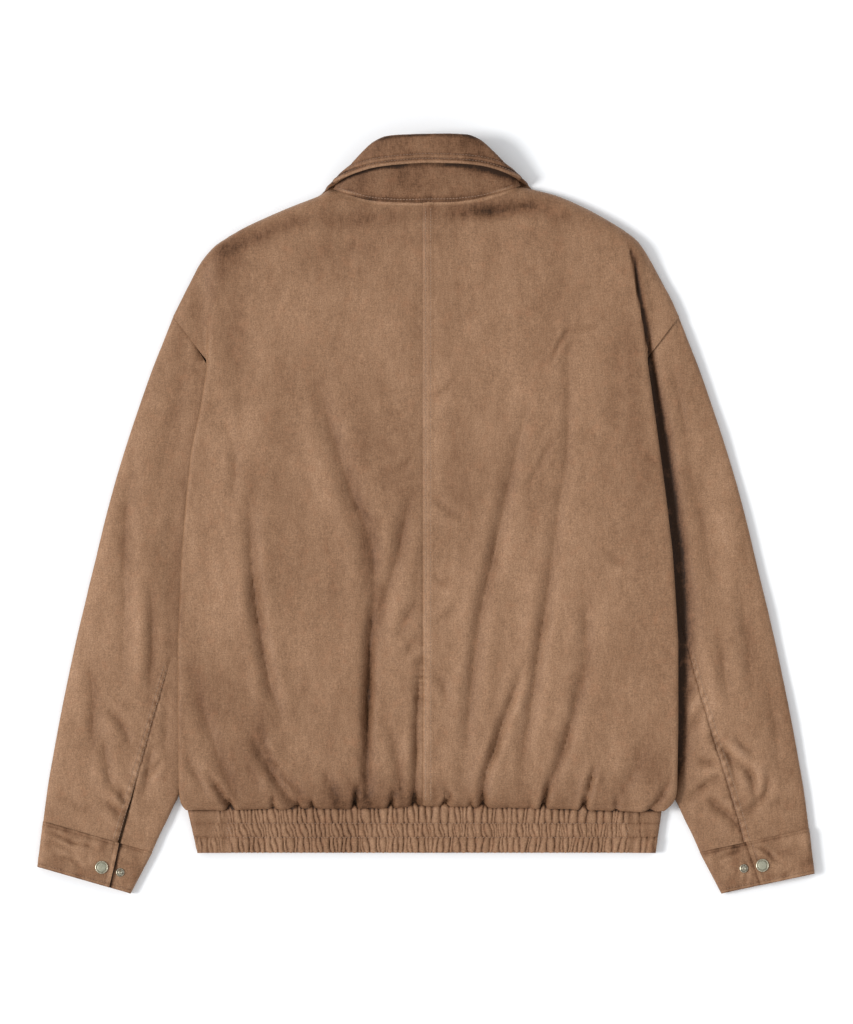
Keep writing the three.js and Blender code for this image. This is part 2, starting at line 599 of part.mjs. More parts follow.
function addSleeve(side) {
  const last = SLEEVE.length - 1;
  const end = sleevePlan(side, last, 1).sub(sleevePlan(side, last, 0));
  const cuffNormal = point(-end.y, end.x, 0).normalize();
  const pieces = [
    { name: `sleeve_${side}_top`, outer: true, counts: { upper: 6, lower: 3 } },
    { name: `sleeve_${side}_under`, outer: false, counts: { upper: 4, lower: 3 } },
  ];
  for (const { name, outer, counts } of pieces) {
    const grid = SLEEVE.map((_, row) => sleeveRow(side, row, outer, counts));
    const columns = grid[0].length;
    const armhole = (j) => {
      const a = grid[0][Math.max(j - 1, 0)];
      const b = grid[0][Math.min(j + 1, columns - 1)];
      const normal = point(b.y - a.y, a.x - b.x, 0);
      return normal.length() > 1 ? normal.normalize() : armholeNormal(SIDES[side]);
    };
    const seams = (i, j) => {
      if (i === 0) return [armhole(j)];
      return i === last ? [cuffNormal] : [];
    };
    addPiece(name, wall(grid, WALL, seams), cloth(0x9c785d));
  }
}

// Cuffs: one strip each, wrapped round so that its outer end laps over the inner one
function addCuff(side) {
  const sign = SIDES[side];
  const last = SLEEVE.length - 1;
  const outerTop = sleevePlan(side, last, 1);
  const innerTop = sleevePlan(side, last, 0);
  const line = outerTop.clone().sub(innerTop).normalize();
  const down = point(sign * line.y, -sign * line.x, 0);
  outerTop.addScaledVector(down, SEAM);
  innerTop.addScaledVector(down, SEAM);
  const { outerBottom, innerBottom, overlapEnd, underlap, outerZ, innerZ, fold, rows } = CUFF;
  const outerEnd = point(sign * (outerBottom.x - CUFF_WALL / 2), outerBottom.y + SLEEVE_SHORTER[side], 0);
  const innerEnd = point(sign * (innerBottom.x + CUFF_WALL / 2), innerBottom.y, 0);
  const low = CUFF_WALL / 2;
  const grid = rows.map((share) => {
    const outer = outerTop.clone().lerp(outerEnd, share);
    const inner = innerTop.clone().lerp(innerEnd, share);
    const width = outer.distanceTo(inner);
    const along = outer.clone().sub(inner).normalize();
    const at = (part, z) => inner.clone().addScaledVector(along, part * width).setZ(z);
    const reach = fold / width;
    const lap = overlapEnd[side];
    const points = CUFF.outerParts.map((part) => at(lerp(lap, 1 - reach, part), outerZ));
    points.push(...foldPoints(at(1 - reach, 0), along, fold, outerZ, low));
    points.push(...CUFF.lowerParts.map((part) => at(lerp(1 - reach, reach, part), low)));
    points.push(...foldPoints(at(reach, 0), along.clone().negate(), fold, innerZ, low).reverse());
    points.push(...CUFF.innerParts.map((part) => at(lerp(reach, lap + underlap, part), innerZ)));
    return points;
  });
  const bottom = outerEnd.clone().sub(innerEnd).normalize();
  const normals = { 0: point(-line.y, line.x, 0), [rows.length - 1]: point(-bottom.y, bottom.x, 0) };
  const seams = (i) => (normals[i] ? [normals[i]] : []);
  addPiece(`cuff_${side}`, wall(grid, CUFF_WALL, seams), cloth(0x8e6c51));
}

// Snaps

function lathe(profile, segments) {
  const outline = profile.map(([r, z]) => new THREE.Vector2(r, z));
  return new THREE.LatheGeometry(outline, segments).rotateX(Math.PI / 2);
}

function addCuffSnaps(side) {
  const { cap, stud } = CUFF_SNAPS[side];
  const rim = CAP.radius - CAP.rim;
  const capProfile = [
    [0, 0],
    [CAP.radius, 0],
    [CAP.radius, CAP.height * 0.7],
    [rim, CAP.height],
    [rim - 0.6, CAP.height * 0.8],
    [0, CAP.height],
  ];
  const studProfile = [
    [0, 0],
    [STUD.radius, 0],
    [STUD.radius, STUD.height],
    [STUD.post, STUD.height],
    [STUD.post, STUD.postHeight],
    [0, STUD.postHeight],
  ];
  const capMesh = addPiece(`cuff_${side}_snap_cap`, lathe(capProfile, 18), metal());
  capMesh.position.set(cap.x, cap.y, CUFF.outerZ + CUFF_WALL / 2 + SEAM);
  const studMesh = addPiece(`cuff_${side}_snap_stud`, lathe(studProfile, 14), metal());
  studMesh.position.set(stud.x, stud.y, CUFF.innerZ + CUFF_WALL / 2 + SEAM);
}

// Concealed snaps lie between the overlapped fronts, and one between the band's ends
function addFrontSnaps() {
  const { count, lowest, pitch, radius } = FRONT_SNAPS;
  const disc = [[0, 0], [radius, 0], [radius, SNAP_HEIGHT], [0, SNAP_HEIGHT]];
  for (let k = 0; k < count; k++) {
    const mesh = addPiece(`front_snap_${k + 1}`, lathe(disc, 16), metal());
    mesh.position.set(0, lowest + k * pitch, WALL + SEAM);
  }
  const mesh = addPiece("waistband_snap", lathe(disc, 16), metal());
  mesh.position.set(0, BAND_SNAP_Y, BAND_WALL + SEAM);
}

// Collar: the stand from the neck seam to the roll line, the leaf on to its free edge

function collarPlace(sign, x, y, z) {
  const across = COLLAR_CENTRE_X + sign * x;
  return point(across, y + COLLAR_TILT * across, z);
}

function collarRow(sign, row) {
  const neck = collarPlace(sign, row.nx, row.ny + NECK_EASE, row.nz);
  const roll = collarPlace(sign, row.fx, row.fy, row.fz);
  const edge = collarPlace(sign, row.ex, row.ey, row.ez);
  const rise = roll.clone().sub(neck);
  const flat = point(rise.x, rise.y, 0).normalize();
  const angle = degToRad(row.roll);
  const level = point(flat.y, -flat.x, 0).multiplyScalar(sign * Math.cos(angle));
  const facing = level.addScaledVector(UP, Math.sin(angle));
  const axis = rise.clone().addScaledVector(facing, -rise.dot(facing)).normalize();
  const turned = (degrees, way) => {
    const a = degToRad(degrees);
    const place = roll.clone().addScaledVector(axis, -row.r * (1 - Math.cos(a)));
    return place.addScaledVector(facing, way * row.r * Math.sin(a));
  };
  const inside = turned(90, -1);
  const outside = turned(90, 1);
  const half = facing.clone().multiplyScalar(SEAM / 2);
  const stand = COLLAR_PARTS.map((part) => neck.clone().lerp(inside, part));
  stand.push(turned(ROLL_MIDDLE, -1), roll.clone().sub(half));
  const leaf = [roll.clone().add(half), turned(ROLL_MIDDLE, 1)];
  leaf.push(...COLLAR_PARTS.map((part) => outside.clone().lerp(edge, part)));
  return { stand, leaf, facing };
}

function addCollar() {
  const left = COLLAR.slice(1).reverse().map((row) => collarRow(-1, row));
  const rows = [...left, ...COLLAR.map((row) => collarRow(1, row))];
  const neckNormal = (i) => {
    const a = rows[Math.max(i - 1, 0)].stand[0];
    const b = rows[Math.min(i + 1, rows.length - 1)].stand[0];
    return point(b.y - a.y, a.x - b.x, 0).normalize();
  };
  const last = rows[0].stand.length - 1;
  const standSeams = (i, j) => (j === 0 ? [neckNormal(i)] : j === last ? [rows[i].facing] : []);
  const leafSeams = (i, j) => (j === 0 ? [rows[i].facing] : []);
  addPiece("collar_stand", wall(rows.map(({ stand }) => stand), COLLAR_WALL, standSeams), cloth(0x7a5741));
  addPiece("collar_leaf", wall(rows.map(({ leaf }) => leaf), COLLAR_WALL, leafSeams), cloth(0x805f48));
}

// Waistband

function addBandEnd(side) {
  const sign = SIDES[side];
  const low = BAND_WALL / 2;
  const high = BAND_BACK.innerZ + BAND_WALL / 2;
  const radius = (high - low) / 2;
  const start = sign * BAND_BACK[side] + SEAM;
  const lap = side === "right" ? BAND_LIFT : 0;
  const last = BAND_ROWS.length - 1;
  const grid = BAND_ROWS.map((y) => {
    const down = (BAND_ROWS[0] - y) / (BAND_ROWS[0] - BAND_ROWS[last]);
    const fold = lerp(BAND_SIDE.top[side], BAND_SIDE.bottom[side], down) - BAND_WALL / 2 - radius;
    const points = [start, lerp(start, fold, 0.5), fold].map((x) => point(sign * x, y, high));
    points.push(...foldPoints(point(sign * fold, y, 0), point(sign, 0, 0), radius, high, low));
    for (const x of [fold, ...BAND_FRONT_COLUMNS]) {
      const lift = lap * (1 - smoothstep(x, PLACKET_REACH, PLACKET_REACH + PLACKET_FADE));
      points.push(point(sign * x, y, low + lift));
    }
    return points;
  });
  const seams = (i) => (i === 0 || i === last ? [ALONG_Y] : []);
  addPiece(`waistband_${side}`, wall(grid, BAND_WALL, seams), cloth(0x88654e));
}

// The elastic back of the waistband: gathers raised over a plain flat inside
function addBandBack() {
  const { left, right, innerZ, thickness } = BAND_BACK;
  const columns = GATHERS * 2 + 1;
  const rows = GATHER_ROWS.length;
  const vertices = [];
  const triangles = [];
  for (const { y, height, shift } of GATHER_ROWS) {
    for (let j = 0; j < columns; j++) {
      const crest = (j + shift) % 2;
      vertices.push(point(lerp(left, right, j / (columns - 1)), y, innerZ + thickness + height * crest));
    }
  }
  const at = (i, j) => i * columns + j;
  for (let i = 0; i < rows - 1; i++) {
    for (let j = 0; j < columns - 1; j++) {
      const far = at(i + 1, j + 1);
      triangles.push([at(i, j), at(i + 1, j), far], [at(i, j), far, at(i, j + 1)]);
    }
  }
  const corner = vertices.length;
  for (const { y } of [GATHER_ROWS[0], GATHER_ROWS[rows - 1]]) {
    for (const x of [left, right]) vertices.push(point(x, y, innerZ));
  }
  triangles.push([corner, corner + 1, corner + 3], [corner, corner + 3, corner + 2]);
  const addFace = (outline, flat, backwards) => {
    const shape = outline.map((v) => new THREE.Vector2(...flat(vertices[v])));
    const clockwise = THREE.ShapeUtils.isClockWise(shape);
    const order = clockwise ? [...outline].reverse() : outline;
    const flatOrder = clockwise ? [...shape].reverse() : shape;
    for (const [a, b, c] of THREE.ShapeUtils.triangulateShape(flatOrder, [])) {
      const triangle = [order[a], order[b], order[c]];
      triangles.push(backwards ? triangle.reverse() : triangle);
    }
  };
  const across = Array.from({ length: columns }, (_, j) => j).reverse();
  const along = Array.from({ length: rows }, (_, i) => i);
  const acrossView = (v) => [v.x, v.z];
  const alongView = (v) => [v.y, v.z];
  addFace([corner, corner + 1, ...across.map((j) => at(0, j))], acrossView, true);
  addFace([corner + 2, corner + 3, ...across.map((j) => at(rows - 1, j))], acrossView, false);
  addFace([corner + 2, corner, ...along.map((i) => at(i, 0))], alongView, true);
  addFace([corner + 3, corner + 1, ...along.map((i) => at(i, columns - 1))], alongView, false);
  addPiece("waistband_back", closedGeometry(vertices, triangles), cloth(0x88654e));
}

for (const side of ["left", "right"]) {
  addBack(side);
  addFront(side);
  addSleeve(side);
  addCuff(side);
  addCuffSnaps(side);
  addBandEnd(side);
}
addBandBack();
addCollar();
addFrontSnaps();

export default jacket;
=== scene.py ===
"""A suede blouson jacket laid flat on its front, seen from straight above.

Sizes are in millimetres up to the point where a mesh is made, and Blender works in metres.
Each piece of cloth is refined from the same short tables as its solid, then creased along listed folds.
"""
import math

import bpy
import numpy as np
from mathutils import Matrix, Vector
from mathutils.bvhtree import BVHTree


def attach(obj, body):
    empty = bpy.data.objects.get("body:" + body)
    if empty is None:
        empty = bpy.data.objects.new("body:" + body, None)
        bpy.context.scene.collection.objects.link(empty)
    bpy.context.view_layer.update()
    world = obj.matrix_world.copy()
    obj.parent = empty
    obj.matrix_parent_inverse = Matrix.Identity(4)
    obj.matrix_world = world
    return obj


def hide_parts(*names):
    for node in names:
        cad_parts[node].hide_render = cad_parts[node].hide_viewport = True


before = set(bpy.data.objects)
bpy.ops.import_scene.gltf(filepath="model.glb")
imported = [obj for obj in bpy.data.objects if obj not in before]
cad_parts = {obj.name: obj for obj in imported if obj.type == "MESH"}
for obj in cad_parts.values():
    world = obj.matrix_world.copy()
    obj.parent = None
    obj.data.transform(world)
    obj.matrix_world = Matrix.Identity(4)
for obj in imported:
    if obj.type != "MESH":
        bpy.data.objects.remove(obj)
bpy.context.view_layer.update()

MM = 0.001
FAR = 99.0
LINING_STEP = 3
SEAM_LINE = 0.04
WALL = 2.0
COLLAR_WALL = 2.4
CUFF_WALL = 2.6
BAND_WALL = 2.2
SEAM = 0.3
HEM_Y = -300.0
YOKE_Y = 157.0
UNDERARM_Y = -47.0
SHOULDER_END_Y = 202.0
CENTRE_BACK_X = -3.6
BACK_CROWN = 2.0
SIDES = {"left": -1, "right": 1}

# Side folds and heights of the back: y, left, right, top, under
BODY = np.array([
    (-300, 247, 245, 11, 7),
    (-296, 251, 251, 16, 9.4),
    (-289, 253, 256, 19.5, 12.6),
    (-280, 254, 258, 20.5, 13.6),
    (-212, 255, 259, 20.5, 13.6),
    (-130, 255, 259, 20, 13.6),
    (-47, 251.5, 254, 20, 13.6),
    (14, 246.5, 247, 20, 13.6),
    (66, 241, 240, 20, 13.6),
    (117, 230, 233, 20, 13.6),
    (157, 224.5, 227.5, 20, 13.6),
])
BODY_COLUMN = {"left": 1, "right": 2, "top": 3, "under": 4}

# Side seam and armhole seam: y, x
SIDE = np.array([
    (-300, 236), (-284, 232), (-250, 224), (-212, 214), (-175, 206), (-130, 200.5), (-47, 197.5),
    (0, 199), (60, 205), (100, 211), (130, 217), (157, 225), (202, 259),
])

# Upper edge of a back half: share across, x, left y, right y, z
BACK_EDGE = [
    (0, 0, 319.6, 319.6, 19.5),
    (0.1, 22, 319, 319.9, 19.4),
    (0.19, 42, 319.9, 321.5, 19),
    (0.27, 58, 321.6, 324, 18),
    (0.355, 76, 326.3, 329.3, 16.4),
    (0.43, 91, 330.6, 334, 13),
    (0.48, 98, 331.5, 334.5, 8.15),
    (0.545, 112, 324.5, 331.5, 8.15),
    (0.63, 133, 316.5, 326, 8.15),
    (0.74, 158, 306, 315.5, 8.15),
    (0.87, 187, 292.5, 300, 8.15),
    (1, 208, 280, 286.5, 8.15),
]
# The rest of it, round the side fold: turn, x, left y, right y, z
BACK_EDGE_DROP = [
    (0.5, 216, 274.5, 280, 8.15),
    (1, 224, 266, 269, 8.15),
    (1.15, 232, 255, 255, 8.15),
    (1.3, 240, 239.5, 239.5, 8.15),
    (1.6, 249.5, 221, 223, 8.15),
    (2, 259, 202, 202, 8.15),
]
FOLD_END_TURN = 1.3
NECK_COLUMNS = 6
EDGE_ROWS = (18, 11, 5, 1.5, 0)
EDGE_CURL = 16.0

# Neckline of the fronts: share across, x, y
NECK_FRONT = [
    (0, -14, 252.5), (0.14, 16, 253.5), (0.24, 49, 261.5),
    (0.35, 76.5, 279.5), (0.43, 91, 302.5), (0.47, 96.5, 320),
]
FRONT_SIDE_COLUMNS = [(0, 240, 239.5, 239.5), (0.5, 249.5, 221, 223), (1, 255, 209, 210), (2, 259, 202, 202)]
FRONT_OVERLAP = 14.0
FRONT_CURL = 7.0
SIDE_CURL = 6.0
SHOULDER_SEAM_Z = 8.0
SNAP_HEIGHT = 1.6
PLACKET_REACH = 18.0
PLACKET_FADE = 22.0
PLACKET_COLUMN = 2
NECK_LIFT = 3.7

# Sleeve rows: outer x, outer y, inner x, inner y, height at the folds, rise between them
SLEEVE = [
    (260, 202, 197.5, -47, 11.1, 0),
    (270, 176, 203, -75, 10.4, 2.5),
    (281, 148, 205, -100, 9.6, 4),
    (292.5, 115, 207.5, -126, 8.8, 5),
    (305.5, 76, 210.5, -150, 8.4, 6),
    (318, 35, 215, -175, 8, 7),
    (329, -6, 220, -198, 8, 7),
    (339.5, -50, 227, -220, 8, 7),
    (349.5, -92, 234, -242, 8, 6.6),
    (359, -132, 241.5, -262, 8, 6.2),
    (367.5, -172, 249.5, -282, 8, 5.6),
    (375.5, -212, 258, -298, 8, 5),
    (382.5, -250, 265.5, -314, 8, 4.2),
    (388.5, -285, 273, -329, 8, 3.4),
    (393.5, -323, 281, -347, 9, 2.4),
]
SLEEVE_SHORTER = {"left": 7.0, "right": 0.0}
SLEEVE_FOLD = 6.0
BACK_SEAM = {"left": (0.34, 0.3), "right": (0.4, 0.4)}
FRONT_SEAM = 0.45
EAVE_CLEARANCE = 11.1
EAVE_SLOPE = 0.25
EAVE_MARGIN = 14.0
FOLD_STEPS = 5
# The scene closes the seams that the solids keep apart, to a thin line
ARMHOLE_EASE = 0.1
SLEEVE_GAP = 0.08
SLIT_GAP = {"left": 1.5, "right": 0.15}
SLIT_FROM_ROW = 11

CUFF_OUTER_BOTTOM = (399.5, -369.5)
CUFF_INNER_BOTTOM = (303.0, -389.5)
CUFF_OVERLAP_END = {"left": (0.3, 0.225), "right": (0.42, 0.42)}
CUFF_UNDERLAP = 0.24
CUFF_OUTER_Z = 12.2
CUFF_INNER_Z = 9.0
CUFF_FOLD = 5.0

# Collar rows: neck seam x y z, roll line x y z, free edge x y z, way the leaf faces, radius
COLLAR_CENTRE_X = 1.0
COLLAR_TILT = 0.02
NECK_EASE = 0.3
COLLAR = [
    (0, 319.6, 19.5, 0, 388.3, 37, 0, 360, 35.5, 90, 3),
    (22, 319.4, 19.4, 21, 388.2, 36.6, 27, 359, 35.1, 90, 3),
    (42, 320.7, 19, 40, 387, 35, 52, 356.5, 33.5, 90, 3),
    (58, 322.8, 18, 53, 382, 33, 68, 352.6, 31, 88, 2.8),
    (76, 327.8, 16.4, 67, 370, 29.5, 82, 347.5, 28, 84, 2.6),
    (91, 333, 13, 80, 356.5, 24, 92.5, 342.5, 22.5, 72, 2.2),
    (94.8, 335, 9.8, 91.5, 345.5, 15, 100.5, 338.5, 11.5, 25, 1.9),
    (94.5, 332, 6.6, 90.5, 338.5, 5, 104.5, 334.5, 2, -62, 1.9),
    (94, 320, 4.6, 87, 325, 3.2, 117, 318, 1.2, -90, 1.7),
    (89, 303, 4.5, 84, 308.5, 2.9, 119, 290, 1.2, -90, 1.7),
    (75, 281, 4.5, 70, 287, 2.9, 106, 257, 1.2, -90, 1.7),
    (48, 262.5, 4.5, 45, 269, 2.9, 86, 230, 1.2, -90, 1.7),
    (17, 254.5, 4.5, 16, 261, 2.9, 64, 212, 1.2, -90, 1.7),
]

BAND_TOP_Y = -300.3
BAND_BOTTOM_Y = -348.0
BAND_SIDE_TOP = {"left": 246.0, "right": 243.0}
BAND_SIDE_BOTTOM = {"left": 235.0, "right": 236.0}
BAND_BACK_X = {"left": -206.5, "right": 212.5}
BAND_INNER_Z = 8.8
BAND_BACK_WALL = 3.0
BAND_END_Z = BAND_INNER_Z + BAND_WALL / 2

SHIRR_LINES = (-317.5, -332.0)
# Rows of gathers: top y, bottom y, gathers, height, lean at the left end, lean at the right end
GATHER_ROWS = [
    (-296, -317.5, 68, 2.3, -4, 3), (-317.5, -332, 96, 1.9, -5, 0.5),
    (-332, -348, 80, 2.3, -3, 3),
]

# Creases of the back: width, depth, ridge beside it, then x and y of each point on the way
BACK_CREASES = [
    (7, 5.6, 0.8, -181, 10, -180, -20, -179, -46, -175, -90, -168, -135, -160, -175, -148, -212),
    (5.5, 5, 0.8, -180, -226, -168, -250, -157, -268, -146, -284, -134, -300, -128, -312),
    (5, 3.4, 0.6, -170, -222, -160, -250, -144, -270, -130, -285, -120, -305),
    (8, 2.4, 0.4, -240, -165, -228, -205, -214, -245, -200, -280, -196, -300),
    (5, 2, 0.6, -247, -245, -236, -267, -226, -284),
    (3.6, 4.2, 1, -224, -267, -214, -280, -201, -300, -190, -318),
    (3.4, 2.4, 0.6, -157, -284, -157, -300, -157, -316), (3, 2.2, 0.6, -121, -290, -116, -300, -110, -312),
    (11, 4.4, 0.5, -112, 138, -100, 95, -84, 45, -70, 5, -58, -28, -53, -70),
    (11, 4.6, 0.4, -56, -20, -53, -70, -57, -125, -59, -190, -61, -240, -62, -300),
    (5, 4.2, 0.6, -54, -90, -58, -140, -60, -200, -61, -256, -59, -296),
    (3.2, 4, 0.8, -70, -276, -73.5, -300, -75, -316),
    (8, 4.4, 0.5, -13, 24, -20, 0, -28, -40, -40, -80, -50, -125),
    (6, 2.4, 0.8, -9, -88, -20, -108, -29, -126), (5, 1.6, 0.6, -8, -128, -16, -138, -22, -150),
    (7, 2.6, 0.6, -42, -205, -32, -237, -27, -268, -25, -292),
    (3.4, 3, 0.8, -32, -280, -36, -298, -44, -308),
    (4.6, 4.6, 0.5, -6, -150, -8, -190, -10, -225, -10.5, -262, -12, -300, -13, -330),
    (4, 1, 0.3, -74, 11, -56, -5), (6, 2.2, 0.5, -104, -262, -96, -284, -92, -300),
    (6, 1.8, 0.4, -205, 95, -196, 50, -200, 10),
    (6, 2, 0.5, 146, 190, 146, 110, 144, 61, 138, 18, 130, -28),
    (7, 4.6, 0.6, 134, -10, 126, -70, 119, -120, 113, -160, 107, -205, 101, -240, 98, -275),
    (2.8, 1.8, 0.8, 143, 188, 160, 189, 180, 194), (2.8, 2.2, 0.8, 149, 192, 138, 176, 128, 157),
    (3.2, 1.6, 0.4, 130, 77, 112, 42, 97, 21),
    (7.5, 4.6, 0.6, 102, 110, 92, 60, 80, 10, 68, -50, 56, -101, 49, -155, 45, -191, 42, -228, 36, -275),
    (5, 4.8, 0.8, 101, -150, 92, -180, 80, -210, 70, -242, 61, -268, 58, -300, 57, -326),
    (3.2, 3.4, 0.8, 21, -280, 24.5, -291, 19, -300, 12, -308), (3, 1.8, 0.5, 47, -290, 46, -302, 45, -314),
    (6, 4.6, 0.6, 158, -170, 150, -210, 140, -245, 128, -278, 121, -300),
    (3.2, 3.8, 0.8, 127, -270, 123, -290, 120, -302, 118, -316),
    (8, 2.4, 0.4, 163, -60, 164, -120, 162, -170, 160, -215),
    (3.4, 4.2, 0.9, 174, -256, 168, -278, 162, -300, 157, -320),
    (3, 1.8, 0.5, 197, -284, 195, -301, 193, -312), (9, 2.4, 0.3, 225, -225, 214, -262, 195, -296),
    (4, 3.6, 0.9, 252, -272, 241, -288, 228, -302, 214, -318), (5, 1.6, 0.3, 186, -38, 202, -49, 217, -50),
    (5, 1.8, 0.5, 226, 60, 238, 52, 246, 42), (8, 3.4, 0.5, 30, 307, 76, 310, 112, 318, 128, 322),
    (20, 1.6, 0.3, -150, 245, -105, 262, -60, 277), (16, 1.4, 0.3, -210, 215, -190, 130, -186, 60),
    (14, 1.6, 0.3, 205, 215, 196, 140, 198, 70), (4, 1.6, 0.4, 8, 120, 20, 128, 32, 140),
    (5, 1.8, 0.5, 8, 20, 22, 4, 40, -4), (5, 2, 0.5, 8, -60, 18, -70, 34, -68),
    (5, 2, 0.5, 9, -112, 22, -104, 36, -92), (5, 1.8, 0.5, 8, -160, 18, -176, 22, -196),
    (4, 1.6, 0.4, -12, 60, -24, 48, -38, 44),
]
# Left edge of the deep cleft between the back and the right sleeve, up over the yoke: y, x
CLEFT_EDGE = np.array([
    (-300, 246), (-250, 257.5), (-212, 260), (-130, 260), (-47, 255.5), (14, 248.5), (66, 241.5),
    (117, 234.5), (157, 229), (194, 224.5), (222, 219), (248, 214.5), (268, 210.5), (284, 205),
])

# Patches darker (below 0) or lighter: brushed nap, with painted shade along the yoke, under the collar and
# above the hem, and painted highlight on the lit side edge and beside folds: x, y, half width, half height,
# turn, amount
BACK_NAP_AND_SHADING = [
    (-165, 288, 62, 9, 22, -0.85), (-60, 303, 62, 10, 4, -0.7), (-205, 254, 18, 26, -20, -0.6),
    (62, 312, 44, 9, 7, -1), (130, 308, 40, 9, -14, -0.5), (0, 283, 120, 12, 4, -0.25),
    (-196, 190, 12, 40, -4, -0.3), (-70, 90, 14, 60, 10, -0.25), (-190, 85, 24, 32, 0, 0.42),
    (-246, -40, 10, 60, 0, 0.6), (-130, -118, 24, 44, 4, 0.6), (-216, -80, 24, 60, 0, 0.45),
    (-171, -226, 12, 36, -10, -0.5), (-108, 10, 24, 40, 0, 0.3), (-60, 200, 50, 50, 0, 0.16),
    (12, 70, 8, 70, 0, 0.4), (28, -70, 16, 40, 0, 0.16), (96, 170, 26, 60, 0, 0.22),
    (160, 100, 24, 110, 3, 0.4), (92, -60, 14, 70, 12, 0.3), (190, -120, 26, 90, 0, 0.16),
    (214, 120, 9, 90, 5, -0.3), (-60, -60, 20, 60, 0, -0.2), (-222, -185, 26, 34, 16, -0.5),
    (-165, -262, 46, 24, -20, -0.4), (-45, -285, 60, 18, 0, -0.2), (232, -262, 22, 26, 14, -0.55),
    (0, -292, 280, 20, 0, -0.5),
]

# Where the hem is caught into the waistband: x, depth
HEM_NOTCHES = np.array([
    (-246, 0), (-201, 2.8), (-157, 1.5), (-131, 2.6), (-117, 1.8), (-73.5, 3), (-36, 2.6), (-12, 3),
    (19, 2.6), (46, 1.4), (58, 3.2), (85, 0.8), (107, 1), (120.5, 3), (161, 3.2), (195, 1.2), (250, 0),
])
# How far the hem hangs over the waistband between two notches: x, overhang
HEM_LINE = np.array([
    (-250, 3.4), (-201, 2.8), (-157, 2.2), (-118, 1.4), (-73, 1.8), (-35, 1.2), (-12, -0.4),
    (22, -0.6), (59, 0.8), (121, 1.6), (162, 3), (195, 4.6), (252, 4.2),
])
# Creases of the sleeves and the cuffs, in the same order
SLEEVE_CREASES = {
    "left": [
        (9, 2.6, 0.6, -300, 60, -308, 0, -310, -50, -310, -95, -314, -165),
        (7, 3.2, 0.7, -283, -70, -281, -110, -281, -140, -285, -185),
        (5, 2.6, 0.8, -328, -200, -317, -210, -309, -222, -304, -236),
        (5.5, 2.8, 0.7, -331, -232, -328, -256, -325, -272, -316, -286, -308, -296),
        (5, 3.6, 0.8, -330, -296, -321, -301, -312, -309, -304, -314),
        (4, 2.8, 0.8, -314, -282, -310, -294, -306, -306),
        (5, 2.8, 0.8, -262, -196, -265, -215, -268, -242),
        (5, 3, 0.8, -281, -240, -285, -262, -290, -290),
        (4, 2.4, 0.8, -270, -250, -278, -262, -288, -268),
        (8, 2, 0.5, -346, -150, -342, -200, -344, -250),
        (6, 1.8, 0.5, -372, -290, -356, -300, -340, -304), (12, 2, 0.4, -246, 150, -262, 90, -274, 30),
        (5, 2.2, 0.6, -226, 176, -229, 152, -226, 124), (4, 1.8, 0.6, -236, 190, -232, 176, -233, 160),
    ],
    "right": [
        (5, 3.4, 0.9, 257, -204, 263, -196, 270, -185, 278, -174),
        (6, 3, 0.8, 270, -226, 278, -208, 286, -196),
        (5, 3.4, 0.9, 292, -222, 300, -236, 312, -250, 318, -274),
        (5, 3.8, 0.9, 316, -252, 327, -260, 335, -272, 338, -292),
        (4.5, 3, 0.9, 330, -306, 341, -296, 350, -284, 352, -266),
        (5, 3.2, 0.9, 266, -296, 277, -286, 290, -277, 308, -268),
        (5, 3.4, 0.8, 288, -290, 300, -302, 313, -311, 322, -324),
        (4, 2.6, 0.8, 279, -250, 290, -256, 303, -255), (5, 2.6, 0.8, 316, -226, 326, -238, 338, -246),
        (12, 2.2, 0.5, 268, 60, 284, -10, 296, -80), (9, 2.4, 0.5, 322, -70, 330, -130, 336, -190),
        (7, 2.2, 0.6, 300, -120, 306, -160, 312, -200), (8, 2, 0.5, 352, -180, 360, -230, 362, -270),
        (6, 2, 0.6, 352, -300, 364, -296, 378, -298), (2.6, 1.8, 0.4, 257, 200, 259, 190, 259.5, 180),
        (6, 2, 0.5, 252, 150, 262, 110, 268, 70),
    ],
}
CUFF_CREASES = {
    "left": [
        (2.2, 1.5, 0.9, -392, -325, -378, -330, -362, -338, -346, -341, -334, -346),
        (2, 1.1, 0.9, -384, -338, -372, -342, -360, -350),
        (2.4, 1, 0.8, -380, -352, -366, -354, -350, -366),
        (2, 1, 0.8, -322, -352, -318, -362, -320, -374),
    ],
    "right": [
        (2.2, 1.5, 0.9, 330, -340, 343, -343, 352, -348, 359, -356, 370, -360),
        (2.2, 1.2, 0.9, 298, -356, 310, -350, 324, -346), (2, 1.1, 0.9, 326, -352, 329, -366, 328, -380),
        (2.4, 1, 0.8, 352, -372, 366, -371, 380, -364),
    ],
}
# Patches of the sleeves: brushed nap, with painted highlight on the folds and painted shade beside the body:
# x, y, half width, half height, turn, amount
SLEEVE_NAP_AND_SHADING = {
    "left": [
        (-352, -110, 14, 130, -12, 0.5), (-322, -120, 9, 70, -4, 0.2), (-296, -110, 8, 80, 0, 0.3),
        (-300, -215, 10, 26, 0, 0.35), (-345, -275, 16, 26, 0, 0.2), (-276, -275, 12, 22, 10, 0.3),
        (-256, 120, 20, 60, 10, -0.2), (-232, 140, 10, 50, 0, -0.3), (-268, -50, 12, 60, 0, 0.3),
    ],
    "right": [
        (272, -204, 7, 20, -30, 0.5), (290, -170, 9, 50, 6, 0.35), (320, -240, 9, 14, 30, 0.4),
        (329, -280, 7, 14, 10, 0.45), (343, -262, 7, 20, 20, 0.4), (294, -268, 10, 12, -30, 0.35),
        (334, -316, 14, 8, 10, 0.3), (310, -40, 14, 100, 8, 0.2), (262, -150, 10, 40, 0, -0.5),
        (268, 130, 14, 60, 0, -0.1), (368, -200, 10, 90, 8, -0.25), (342, -140, 10, 80, 8, -0.1),
        (276, -256, 16, 18, 0, -0.3),
    ],
}


# Small numeric helpers

def lerp(a, b, t):
    return a + (b - a) * t


